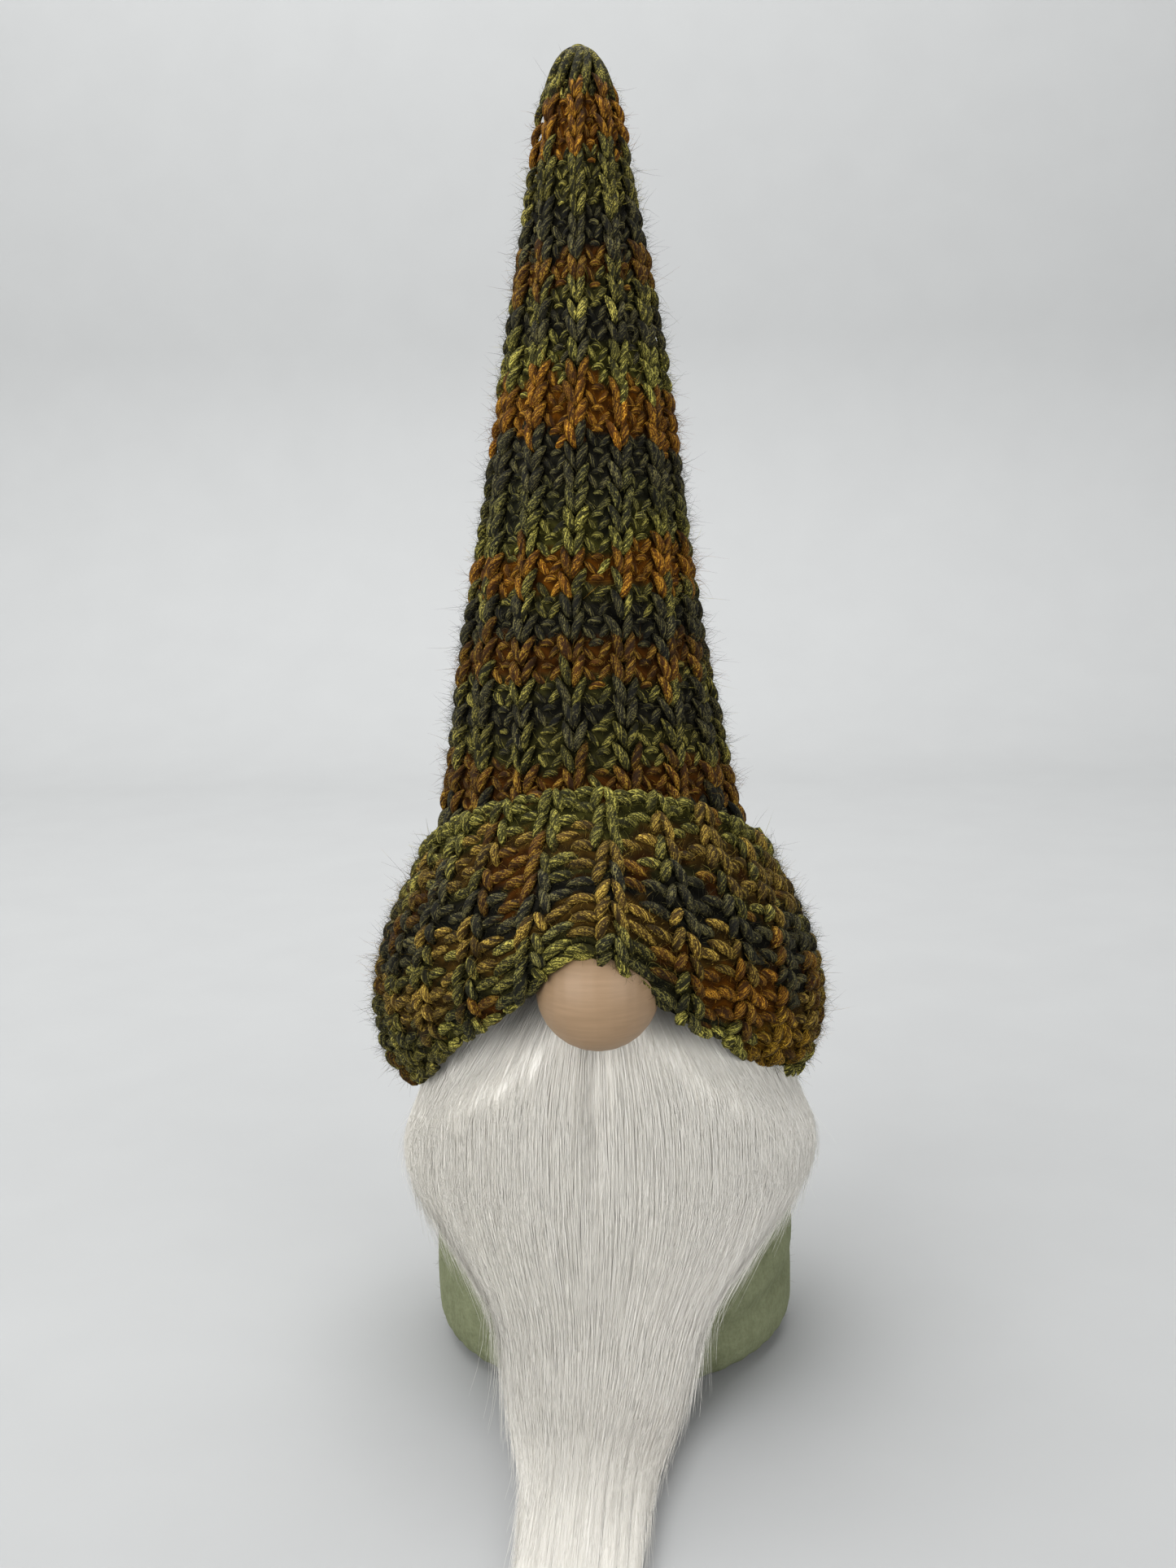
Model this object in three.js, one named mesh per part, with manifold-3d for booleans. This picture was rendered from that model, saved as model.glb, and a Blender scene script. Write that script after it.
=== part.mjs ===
// Tomte gnome figurine: a weighted fleece body, a long faux-fur beard, a wooden
// ball nose and a tall stuffed knitted hat with a turned-up cuff.
// Millimetres, +Z up. The gnome faces -Y. The origin is the centre of the
// underside of the base, where the figure stands.
import * as THREE from "three";
import { mergeVertices } from "three/addons/utils/BufferGeometryUtils.js";
import Module from "manifold-3d";

const wasm = await Module();
wasm.setup();

// ---------------------------------------------------------------- dimensions
const GAP = 0.4; // clearance between pieces that touch
const TURNS = 28; // steps round a turned piece

// Body: a fleece sleeve sewn to a round base and gathered at the neck.
const BODY_RADIUS = 49;
const BODY_CORNER = 9;
const FLEECE = 2.2;
const BASE_RADIUS = 38.6;
const CARD_RADIUS = 36;
const CARD = 1.5;
const PELLET_RADIUS = 43;
const PELLET_TOP = 30;
const PELLET_ROUND = 6; // rounding of the pellet bag's edges
const STUFFING_TOP = 149;
const NECK_RADIUS = 6.5;
const NECK_Z = 158;
const TIE_THREAD = 1.2; // radius of the wound neck tie
const SEAM_THREAD = 0.5; // radius of the base seam's thread
const RUFFLE_TOP = 166;

// Hat: a cone that leans back, on an axis through HAT_PIVOT_Z.
const HAT_PIVOT_Z = 125;
const HAT_LEAN = THREE.MathUtils.degToRad(10);
const HAT_SHIFT = -2; // the hat sits a little to one side
const CROWN_FOOT_RADIUS = 43.8;
const CROWN_TAPER = 0.1594;
const CROWN_START = 2;
const CROWN_TOP = 224;
const CROWN_TIP_ROUND = 8;
const KNIT = 3.5;
const TIP_HOLE = 1.6;
const HAT_FILL_START = 46;
const BEND_HEIGHT = 118; // the tip bends about this point of the hat's axis
const BEND_RADIUS = 26.6; // the ball-shaped cut that the bend turns on

// Nose: a plain wooden ball glued on over the beard.
const NOSE_RADIUS = 15;
const NOSE_Y = -59;
const NOSE_Z = 115;
const GLUE_RADIUS = 5;

// Beard: a backing cloth glued to the front of the body, with long pile on it.
const GLUE_OFF = 0.3;
const GLUE = 0.9;
const BACKING_OFF = 1.5;
const BACKING = 1.4;
const PILE_OFF = 3.7;
const PILE_UNDER_HAT = 1.2;
const BEARD_SPLIT_Z = 84; // the beard hinges forward along this line
const BEND_START_Z = 25; // the beard turns out onto the ground below this
const GROUND_CLEAR = 0.6;
const BEARD_END_Y = -146;

const radians = THREE.MathUtils.degToRad;
const bell = (angle, width) => Math.exp(-((angle / radians(width)) ** 2));

// ---------------------------------------------------------- shape helpers

/** Straight-line interpolation in a list of [position, value] pairs. */
function along(table, position) {
  const rising = table[0][0] < table[table.length - 1][0];
  const list = rising ? table : [...table].reverse();
  if (position <= list[0][0]) return list[0][1];
  for (let i = 1; i < list.length; i++) {
    const [p0, v0] = list[i - 1];
    const [p1, v1] = list[i];
    if (position <= p1) return v0 + ((v1 - v0) * (position - p0)) / (p1 - p0);
  }
  return list[list.length - 1][1];
}

/** Points [radius, height] of an arc about [cr, cz], from one angle to another. */
function arc(cr, cz, radius, from, to, steps) {
  const points = [];
  for (let i = 0; i <= steps; i++) {
    const angle = radians(from + ((to - from) * i) / steps);
    points.push([cr + radius * Math.cos(angle), cz + radius * Math.sin(angle)]);
  }
  return points;
}

/** A body turned about +Z from a closed or axis-to-axis [radius, height] outline,
 * listed anticlockwise with the radius to the right. */
function turned(outline) {
  const points = outline.map(([r, z]) => new THREE.Vector2(Math.max(r, 0), z));
  return new THREE.LatheGeometry(points, TURNS).rotateX(Math.PI / 2);
}

/** A turned shell: its outside and inside run upwards, and its ends are open. */
function turnedShell(outside, inside) {
  return turned([...outside, ...[...inside].reverse(), outside[0]]);
}

/** A skin over a row of rings of equal length, capped at both ends, or closed
 * end to end where `loop` is set. */
function lofted(rings, loop = false) {
  const count = rings[0].length;
  const positions = rings.flat().flatMap((p) => [p.x, p.y, p.z]);
  const index = [];
  const last = loop ? rings.length : rings.length - 1;
  for (let i = 0; i < last; i++) {
    const a = i * count;
    const b = ((i + 1) % rings.length) * count;
    for (let j = 0; j < count; j++) {
      const k = (j + 1) % count;
      index.push(a + j, b + j, b + k, a + j, b + k, a + k);
    }
  }
  // A ring runs out and back, so its point j faces its point count - 1 - j.
  for (let j = 0; !loop && j < count / 2 - 1; j++) {
    const end = (rings.length - 1) * count;
    const [a, b, c, d] = [j, j + 1, count - 2 - j, count - 1 - j];
    index.push(a, b, c, a, c, d);
    index.push(end + a, end + c, end + b, end + a, end + d, end + c);
  }
  return new THREE.BufferGeometry()
    .setAttribute("position", new THREE.Float32BufferAttribute(positions, 3))
    .setIndex(index);
}

/** A geometry as a manifold-3d solid. */
function solid(geometry) {
  const bare = geometry.clone();
  bare.deleteAttribute("normal");
  bare.deleteAttribute("uv");
  const merged = mergeVertices(bare, 1e-4);
  return new wasm.Manifold(
    new wasm.Mesh({
      numProp: 3,
      vertProperties: merged.attributes.position.array,
      triVerts: new Uint32Array(merged.index.array),
    }),
  );
}

/** A manifold-3d solid as a geometry. */
function surface(made) {
  const mesh = made.getMesh();
  const geometry = new THREE.BufferGeometry()
    .setAttribute("position", new THREE.BufferAttribute(mesh.vertProperties, 3))
    .setIndex(new THREE.BufferAttribute(mesh.triVerts, 1));
  geometry.computeVertexNormals();
  return geometry;
}

/** One geometry with others cut out of it. */
function cut(geometry, ...tools) {
  return surface(tools.reduce((rest, tool) => rest.subtract(solid(tool)), solid(geometry)));
}

/** A ball about the middle of the nose. */
function noseBall(radius) {
  return new THREE.SphereGeometry(radius, 28, 18).translate(0, NOSE_Y, NOSE_Z);
}

/** A named mesh in its own material. */
function piece(name, geometry, finish) {
  geometry.computeVertexNormals();
  const mesh = new THREE.Mesh(geometry, finish);
  mesh.name = name;
  return mesh;
}

// ------------------------------------------------------------------ materials
const cloth = (color) => new THREE.MeshStandardMaterial({ color, roughness: 0.95, metalness: 0 });
const FINISH = {
  fleece: cloth(0x98a283),
  wool: cloth(0x6b6425),
  fur: cloth(0xeeeaea),
  backing: cloth(0xe2ddd6),
  fibrefill: cloth(0xf4f3f0),
  muslin: cloth(0xd9cdb4),
  thread: cloth(0x8f9a78),
  card: cloth(0xb08d62),
  beech: new THREE.MeshStandardMaterial({ color: 0xc3a78a, roughness: 0.55, metalness: 0 }),
  glue: new THREE.MeshStandardMaterial({ color: 0xe8e4d0, roughness: 0.35, metalness: 0 }),
};

// ----------------------------------------------------------------------- body

/** Outside radius of the body above its rounded foot. */
const BODY_SIDE = [
  [BODY_CORNER + 0.3, BODY_RADIUS],
  [55, BODY_RADIUS],
  [70, 48],
  [85, 46.5],
  [97, 44.3],
  [108, 41],
  [119, 36.6],
  [131, 31],
  [143, 23.5],
  [151, 15],
  [155, 8.5],
  [NECK_Z, NECK_RADIUS],
  [161, 7.5],
  [RUFFLE_TOP, 11],
];
const bodyRadius = (z) => along(BODY_SIDE, z);

function buildBody() {
  const group = new THREE.Group();
  const corner = BODY_RADIUS - BODY_CORNER;
  const foot = BODY_CORNER + 0.3;
  const inner = BODY_CORNER - FLEECE;
  const side = BODY_SIDE.slice(1).map(([z, r]) => [r, z]);
  const inside = side.map(([r, z]) => [Math.max(r - FLEECE, NECK_RADIUS - 3), z]);
  group.add(
    piece(
      "body_fleece",
      turnedShell(
        [[BASE_RADIUS + GAP, 0.3], ...arc(corner, foot, BODY_CORNER, -90, 0, 4), ...side],
        [[BASE_RADIUS + GAP, 0.3 + FLEECE], ...arc(corner, foot, inner, -90, 0, 3), ...inside],
      ),
      FINISH.fleece,
    ),
  );

  const disc = (radius, low, high) => turned([[0, low], [radius, low], [radius, high], [0, high]]);
  group.add(piece("base_fleece", disc(BASE_RADIUS, 0, FLEECE), FINISH.fleece));
  const card = FLEECE + GAP;
  group.add(piece("base_stiffener", disc(CARD_RADIUS, card, card + CARD), FINISH.card));

  const seam = turned(arc(CARD_RADIUS + 1.5, FLEECE + 0.9, SEAM_THREAD, 0, 360, 6));
  group.add(piece("base_seam_thread", seam, FINISH.thread));

  const bagLow = card + CARD + GAP;
  const bag = turned([
    [0, bagLow],
    [CARD_RADIUS - 2, bagLow],
    ...arc(PELLET_RADIUS - PELLET_ROUND, bagLow + 8, PELLET_ROUND, -45, 0, 3),
    ...arc(PELLET_RADIUS - PELLET_ROUND, PELLET_TOP - PELLET_ROUND, PELLET_ROUND, 0, 90, 4),
    [0, PELLET_TOP],
  ]);
  group.add(piece("pellet_bag", bag, FINISH.muslin));

  const stuffed = [PELLET_TOP + 1, 55, 70, 85, 97, 108, 119, 131, 143, STUFFING_TOP];
  const stuffing = turned([
    [0, PELLET_TOP + 1],
    ...stuffed.map((z) => [bodyRadius(z) - FLEECE - 0.6, z]),
    [0, STUFFING_TOP],
  ]);
  group.add(piece("body_fibrefill", stuffing, FINISH.fibrefill));

  const tie = turned(arc(NECK_RADIUS + 1 + TIE_THREAD, NECK_Z, TIE_THREAD, 0, 360, 6));
  group.add(piece("neck_tie", tie, FINISH.thread));
  return group;
}

// ------------------------------------------------------------------------ hat

/** Height of the cuff's folded lower edge round the hat; 0 is the front. */
const cuffLow = (turn) => 68 + 44 * bell(turn, 56) + 14 * bell(turn, 13);

/** Height of the cuff's upper edge round the hat. */
function cuffHigh(turn) {
  const front = Math.cos(turn);
  return 140 + (front > 0 ? 18.5 * front ** 1.4 : 4 * front);
}

/** Cuff radii up its width, at the side of the head: [share of width, radius]. */
const CUFF_OUTSIDE = [
  [0, 54.5],
  [0.08, 58.5],
  [0.2, 61],
  [0.36, 60.6],
  [0.52, 59],
  [0.66, 56.6],
  [0.78, 53.4],
  [0.9, 49],
  [1, 46],
];
const CUFF_INSIDE = [
  [1, 42],
  [0.9, 43.6],
  [0.78, 46.8],
  [0.6, 51.4],
  [0.4, 53],
  [0.2, 52.8],
  [0, 51.5],
];
const NOSE_LIFT = 18.5; // how far the cuff bulges out over the nose
const CUFF_STEPS = 48;

/** A point of the cuff at a turn round the head, a share of its width and a radius. */
function cuffPoint(turn, share, radius) {
  const low = cuffLow(turn);
  const z = low + share * (cuffHigh(turn) - low);
  const lifted = radius + NOSE_LIFT * (1 - share) ** 1.7 * bell(turn, 32);
  const back = Math.tan(HAT_LEAN) * Math.max(0, z - HAT_PIVOT_Z);
  return new THREE.Vector3(HAT_SHIFT + lifted * Math.sin(turn), back - lifted * Math.cos(turn), z);
}

function cuffGeometry() {
  const rings = [];
  for (let i = 0; i < CUFF_STEPS; i++) {
    const turn = (2 * Math.PI * i) / CUFF_STEPS - Math.PI;
    rings.push([...CUFF_OUTSIDE, ...CUFF_INSIDE].map(([t, r]) => cuffPoint(turn, t, r)));
  }
  return lofted(rings, true);
}

/** Outside radius of the crown, h along the hat's own axis. */
const crownRadius = (h) => CROWN_FOOT_RADIUS - CROWN_TAPER * h;

/** Height on the hat's axis where a wall `inset` inside the crown meets the
 * ball-shaped cut of the given radius. */
function cutHeight(inset, radius) {
  let rise = 15;
  for (let i = 0; i < 30; i++) {
    rise = Math.sqrt(radius ** 2 - (crownRadius(BEND_HEIGHT + rise) - inset) ** 2);
  }
  return BEND_HEIGHT + rise;
}

/** The ball-shaped cut between two insets of the crown's wall, outer end first. */
function cutArc(outer, inner, radius, steps) {
  const angle = (inset) => {
    const h = cutHeight(inset, radius);
    return THREE.MathUtils.radToDeg(Math.atan2(h - BEND_HEIGHT, crownRadius(h) - inset));
  };
  const end = inner === null ? 90 : angle(inner);
  return arc(0, BEND_HEIGHT, radius, angle(outer), end, steps);
}

function buildHat() {
  const hat = new THREE.Group();
  const clearOfNose = noseBall(NOSE_RADIUS + GAP);
  hat.add(piece("hat_cuff", cut(cuffGeometry(), clearOfNose), FINISH.wool));

  const group = new THREE.Group(); // the cone, leaning back
  group.position.set(HAT_SHIFT, 0, HAT_PIVOT_Z);
  group.rotation.x = -HAT_LEAN;
  hat.add(group);
  const inset = KNIT + 0.5;
  const wall = (h, d = 0) => [crownRadius(h) - d, h];
  const above = BEND_RADIUS + GAP;

  const lowerOut = [CROWN_START, 60, 115].map((h) => wall(h));
  const lowerIn = [CROWN_START, 60, 115].map((h) => wall(h, KNIT));
  group.add(
    piece(
      "hat_crown_lower",
      turned([...lowerOut, ...cutArc(0, KNIT, BEND_RADIUS, 2), ...lowerIn.reverse(), lowerOut[0]]),
      FINISH.wool,
    ),
  );
  group.add(
    piece(
      "hat_fibrefill_lower",
      turned([
        [0, HAT_FILL_START],
        ...[HAT_FILL_START, 115].map((h) => wall(h, inset)),
        ...cutArc(inset, null, BEND_RADIUS, 5),
      ]),
      FINISH.fibrefill,
    ),
  );

  const tipRound = CROWN_TOP - CROWN_TIP_ROUND;
  const tipRadius = crownRadius(tipRound);
  const dome = (radius, height, hole) => {
    const points = arc(0, 0, 1, 0, 90, 4).map(([r, h]) => [r * radius, tipRound + h * height]);
    return [...points.slice(0, -1), [hole, tipRound + height]];
  };
  const upperOut = [175].map((h) => wall(h));
  const upperIn = [175].map((h) => wall(h, KNIT));
  const outRise = CROWN_TIP_ROUND;
  const inRise = CROWN_TIP_ROUND - KNIT;
  const lip = cutArc(0, KNIT, above, 2);
  group.add(
    piece(
      "hat_crown_upper",
      turned([
        lip[0],
        ...upperOut,
        ...dome(tipRadius, outRise, TIP_HOLE),
        ...dome(tipRadius - KNIT, inRise, TIP_HOLE).reverse(),
        ...upperIn.reverse(),
        ...[...lip].reverse(),
      ]),
      FINISH.wool,
    ),
  );
  const fillTop = tipRound - 1;
  group.add(
    piece(
      "hat_fibrefill_upper",
      turned([
        ...cutArc(inset, null, above, 5).reverse(),
        ...[175, fillTop].map((h) => wall(h, inset)),
        [0, fillTop],
      ]),
      FINISH.fibrefill,
    ),
  );
  const knot = TIP_HOLE - 0.35;
  group.add(
    piece(
      "hat_tip_thread",
      turned([
        [0, tipRound + inRise - 2],
        [knot, tipRound + inRise - 1.5],
        [knot, CROWN_TOP + 0.6],
        [0, CROWN_TOP + 1.2],
      ]),
      FINISH.wool,
    ),
  );
  return hat;
}

// ---------------------------------------------------------------------- beard

/** Half-angle that the beard wraps round the body, by height. */
const BEARD_WRAP = [
  [18, 27],
  [25, 29],
  [31, 32],
  [38, 36],
  [45, 43],
  [50, 54],
  [54, 64],
  [60, 71],
  [67, 71],
  [73, 69],
  [78, 62],
  [83.6, 50],
  [84.4, 50],
  [96, 46],
  [108, 40],
  [118, 32],
  [124, 28],
];

/** Half-width of the beard where it lies on the ground, by -Y. */
const BEARD_WIDTH = [
  [75, 21.6],
  [92, 17],
  [116, 14.6],
  [131, 13],
  [141, 10],
  [-BEARD_END_Y, 5],
];
const PILE_DEPTH = 8.5;
const ACROSS = 12; // steps across the beard
const FLAT_WRAP = 1.5; // half-angle of the beard where it lies flat

/** Share of the full depth across the beard, from -1 to 1. */
const crown = (u) => 0.3 + 0.7 * Math.sqrt(Math.max(0, 1 - u * u));

/** Ring round the body between two distances off its fleece; `depth` may vary
 * with the turn. */
function wrapRing(z, off, depth, wrap = along(BEARD_WRAP, z)) {
  const front = [];
  const back = [];
  for (let i = 0; i <= ACROSS; i++) {
    const u = (2 * i) / ACROSS - 1;
    const turn = u * radians(wrap);
    const near = bodyRadius(z) + off;
    const far = near + depth(u, turn);
    const at = (r) => new THREE.Vector3(r * Math.sin(turn), -r * Math.cos(turn), z);
    back.push(at(near));
    front.push(at(far));
  }
  return [...front, ...back.reverse()];
}

/** Ring of the beard on its way out onto the ground. `out` turns the pile from
 * facing forwards (0) to facing up (90 degrees). */
function groundRing(y, z, out, half, wrap, depth) {
  const bend = half / Math.sin(radians(wrap));
  const up = Math.sin(radians(out));
  const forward = Math.cos(radians(out));
  const front = [];
  const back = [];
  for (let i = 0; i <= ACROSS; i++) {
    const u = (2 * i) / ACROSS - 1;
    const turn = u * radians(wrap);
    const at = (n, x) => new THREE.Vector3(x, y - n * forward, z + n * up);
    const sag = bend * (Math.cos(turn) - 1);
    const x = bend * Math.sin(turn);
    back.push(at(sag, x));
    front.push(at(sag + depth * crown(u), x));
  }
  return [...front, ...back.reverse()];
}

function lowerPileGeometry() {
  const hanging = [BEARD_SPLIT_Z - GAP, 78, 73, 67, 60, 54, 50, 45, 38, 31, BEND_START_Z];
  const rings = hanging.map((z) => wrapRing(z, PILE_OFF, (u) => PILE_DEPTH * crown(u)));
  const radius = BEND_START_Z - GROUND_CLEAR - GAP;
  const startY = -(BODY_RADIUS + PILE_OFF);
  const wide = along(BEARD_WIDTH, radius - startY);
  const bendWrap = along(BEARD_WRAP, BEND_START_Z);
  const narrowStart = (BODY_RADIUS + PILE_OFF) * Math.sin(radians(bendWrap));
  for (const step of [0.25, 0.5, 0.75, 1]) {
    const out = 90 * step;
    const y = startY - radius * (1 - Math.cos(radians(out)));
    const z = BEND_START_Z - radius * Math.sin(radians(out));
    const half = narrowStart + (wide - narrowStart) * step;
    const wrap = bendWrap + (FLAT_WRAP - bendWrap) * step;
    rings.push(groundRing(y, z, out, half, wrap, PILE_DEPTH));
  }
  const flatStart = -(radius - startY);
  for (const step of [0.15, 0.35, 0.55, 0.75, 0.9, 1]) {
    const y = flatStart + (BEARD_END_Y - flatStart) * step;
    const depth = PILE_DEPTH * (1 - 0.75 * step ** 1.6);
    rings.push(groundRing(y, GROUND_CLEAR + GAP, 90, along(BEARD_WIDTH, -y), FLAT_WRAP, depth));
  }
  return lofted(rings);
}

function upperPileGeometry() {
  const depth = (z) => (u, turn) => {
    const below = THREE.MathUtils.smoothstep(cuffLow(turn) - z, 0, 12);
    return PILE_UNDER_HAT + (PILE_DEPTH * crown(u) - PILE_UNDER_HAT) * below;
  };
  const heights = [118, 113, 108, 102, 96, 90, BEARD_SPLIT_Z + GAP];
  return lofted(heights.map((z) => wrapRing(z, PILE_OFF, depth(z))));
}

/** A thin curved sheet round the front of the body. */
function sheetGeometry(heights, off, thick, wrap) {
  return lofted(heights.map((z) => wrapRing(z, off, () => thick, wrap(z))));
}

/** Heights of the backing's rings above the line where the beard lifts, and of
 * the glue strip behind it. */
const BACKING_HEIGHTS = [124, 116, 108, 97, BEARD_SPLIT_Z + GAP];
const GLUE_HEIGHTS = [117, 111, 105];
const GLUE_WRAP = 26;

/** Half-angle of the backing's free flap, by height. */
const FLAP_HEIGHTS = [BEARD_SPLIT_Z - GAP, 76, 68, 60, 54];
const FLAP_WRAP = [
  [54, 30],
  [60, 46],
  [68, 52],
  [BEARD_SPLIT_Z, 46],
];

function buildFace() {
  const group = new THREE.Group();
  const narrow = (z) => along(BEARD_WRAP, z) - 4;
  const flapWrap = (z) => along(FLAP_WRAP, z);
  const pad = (radius) => {
    const start = -(bodyRadius(NOSE_Z - GLUE_RADIUS) + BACKING_OFF + BACKING + GAP);
    const length = start - NOSE_Y;
    return new THREE.CylinderGeometry(radius, radius, length, 20).translate(
      0,
      start - length / 2,
      NOSE_Z,
    );
  };

  const backing = sheetGeometry(BACKING_HEIGHTS, BACKING_OFF, BACKING, narrow);
  group.add(piece("beard_backing", backing, FINISH.backing));
  const strip = sheetGeometry(GLUE_HEIGHTS, GLUE_OFF, GLUE, () => GLUE_WRAP);
  group.add(piece("beard_glue", strip, FINISH.glue));
  const clear = pad(GLUE_RADIUS + GAP).translate(0, 2, 0);
  const upper = cut(upperPileGeometry(), noseBall(NOSE_RADIUS + GAP), clear);
  group.add(piece("beard_pile_upper", upper, FINISH.fur));
  group.add(piece("nose_bead", noseBall(NOSE_RADIUS), FINISH.beech));
  group.add(piece("nose_glue", cut(pad(GLUE_RADIUS), noseBall(NOSE_RADIUS + GAP)), FINISH.glue));

  const flap = sheetGeometry(FLAP_HEIGHTS, BACKING_OFF, BACKING, flapWrap);
  group.add(piece("beard_backing_flap", flap, FINISH.backing));
  group.add(piece("beard_pile_lower", lowerPileGeometry(), FINISH.fur));
  return group;
}

const gnome = new THREE.Group();
gnome.add(buildBody(), buildFace(), buildHat());

export default gnome;
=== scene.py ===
"""Tomte gnome figurine: knitting, fur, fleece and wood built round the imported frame.

The gnome faces -Y and stands on the origin, with its height along +Z. Sizes are in
millimetres, and a mesh is put in metres as it is made. Turns round the figure are
measured from its front, towards +X.
"""

import logging
import math
from dataclasses import dataclass, field
from enum import Enum
from typing import Any, Sequence

import bmesh
import bpy
import numpy as np
from mathutils import Matrix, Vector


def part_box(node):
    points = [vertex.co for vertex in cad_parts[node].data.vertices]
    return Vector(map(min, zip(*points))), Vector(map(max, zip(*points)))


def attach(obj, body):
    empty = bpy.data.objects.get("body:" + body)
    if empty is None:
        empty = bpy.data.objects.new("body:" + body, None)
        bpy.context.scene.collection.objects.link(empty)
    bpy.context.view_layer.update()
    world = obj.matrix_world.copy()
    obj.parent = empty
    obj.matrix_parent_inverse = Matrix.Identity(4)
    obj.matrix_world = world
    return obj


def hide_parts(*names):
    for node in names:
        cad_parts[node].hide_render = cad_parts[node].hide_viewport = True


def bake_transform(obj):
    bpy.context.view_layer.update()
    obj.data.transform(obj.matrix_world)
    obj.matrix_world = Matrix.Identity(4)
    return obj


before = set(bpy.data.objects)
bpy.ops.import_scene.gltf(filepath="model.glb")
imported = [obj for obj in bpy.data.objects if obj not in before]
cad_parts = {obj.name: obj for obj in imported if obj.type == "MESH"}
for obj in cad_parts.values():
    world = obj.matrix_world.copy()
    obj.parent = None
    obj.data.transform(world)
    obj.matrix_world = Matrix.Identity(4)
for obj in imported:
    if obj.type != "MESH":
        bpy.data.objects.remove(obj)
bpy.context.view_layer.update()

MM = 0.001
Array = np.ndarray
Piece = bpy.types.Object
Tree = bpy.types.NodeTree
Node = bpy.types.Node
Rows = Sequence[tuple[float, float]]
log = logging.getLogger("gnome")


# ------------------------------------------------------------------ numbers
def linear(code: str) -> tuple[float, float, float, float]:
    """Turns an sRGB hex colour, "#rrggbb", to the linear red, green, blue and alpha of a shader."""
    parts = np.array([int(code[i : i + 2], 16) for i in (1, 3, 5)]) / 255
    low = parts / 12.92
    high = ((parts + 0.055) / 1.055) ** 2.4
    return (*np.where(parts <= 0.04045, low, high).tolist(), 1.0)


def step(value: Array, low: float, high: float) -> Array:
    """Rises smoothly from 0 at low to 1 at high: 3t^2 - 2t^3 of the share between them."""
    share = np.clip((value - low) / (high - low), 0, 1)
    return share * share * (3 - 2 * share)


def bell(value: Array, width: float) -> Array:
    """A bell of height 1 about 0: e to the power of minus (value over width) squared."""
    return np.exp(-((value / width) ** 2))


def curve(rows: Rows, at: Array) -> Array:
    """Smooth curve through rows of (place, value).

    Between two rows it is the cubic that has each row's value and slope, and a row's slope
    is the mean slope to its neighbours.

    Args:
        rows: the points that the curve goes through, in any order.
        at: the places to read it at; past the ends it stays level.

    Returns:
        The curve's value at each place.
    """
    place, value = np.array(sorted(rows), float).T
    slope = np.gradient(value, place)
    at = np.clip(at, place[0], place[-1])
    i = np.clip(np.searchsorted(place, at) - 1, 0, len(place) - 2)
    gap = place[i + 1] - place[i]
    t = (at - place[i]) / gap
    level = value[i] * (1 + 2 * t) * (1 - t) ** 2 + value[i + 1] * t * t * (3 - 2 * t)
    return level + gap * t * (1 - t) * (slope[i] * (1 - t) - slope[i + 1] * t)


def ripple(seed: int, places: Array, wavelength: float, waves: int = 14) -> Array:
    """Smooth random field about 0, with a spread of about 1.

    It is the sum of cosine waves of random direction and phase, near one wavelength.

    Args:
        seed: fixes the field.
        places: where to read it, with the coordinates on the last axis.
        wavelength: the usual distance between crests, in the places' own units.
        waves: how many waves are added.

    Returns:
        The field at each place.
    """
    rng = np.random.default_rng(seed)
    push = rng.normal(size=(places.shape[-1], waves))
    push *= 2 * np.pi / wavelength / np.linalg.norm(push, axis=0) * rng.uniform(0.6, 1.4, waves)
    return np.cos(places @ push + rng.uniform(0, 2 * np.pi, waves)).sum(-1) * math.sqrt(2 / waves)


def unit(vectors: Array) -> Array:
    """Vectors of length 1 along the given ones."""
    return vectors / np.maximum(np.linalg.norm(vectors, axis=-1, keepdims=True), 1e-9)


def round_z(radius: Array, turn: Array, z: Array) -> Array:
    """Points at a radius and turn round +Z: (r sin turn, -r cos turn, z)."""
    return np.stack(np.broadcast_arrays(radius * np.sin(turn), -radius * np.cos(turn), z), -1)


def whole_turn(count: int) -> Array:
    """Turns all the way round: from the back by the left side, the front and the right side."""
    return np.linspace(-np.pi, np.pi, count, endpoint=False)


# ------------------------------------------------------------------ meshes
@dataclass
class Skin:
    """A mesh before Blender has it.

    Attributes:
        points: vertices in millimetres, (n, 3).
        faces: arrays of faces; all faces of one array have as many corners.
        values: named numbers at the vertices: (n, 3) vectors or (n, 4) colours.
        slots: the material of each face, counted over all arrays, or None for one material.
    """

    points: Array
    faces: list[Array]
    values: dict[str, Array] = field(default_factory=dict)
    slots: Array | None = None


def grid(points: Array, close_rows: bool = False, close_columns: bool = False) -> Skin:
    """Skin over a grid of points; it faces out where rows run up and columns run by turn.

    Args:
        points: (rows, columns, 3).
        close_rows: join the last row to the first.
        close_columns: join the last column to the first.

    Returns:
        The skin, with one vertex for each point.
    """
    rows, columns = points.shape[:2]
    index = np.arange(rows * columns).reshape(rows, columns)
    if close_rows:
        index = np.vstack([index, index[:1]])
    if close_columns:
        index = np.hstack([index, index[:, :1]])
    low, high = index[:-1], index[1:]
    quads = np.stack([low[:, :-1], low[:, 1:], high[:, 1:], high[:, :-1]], -1)
    return Skin(points.reshape(-1, 3), [quads.reshape(-1, 4)])


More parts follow.
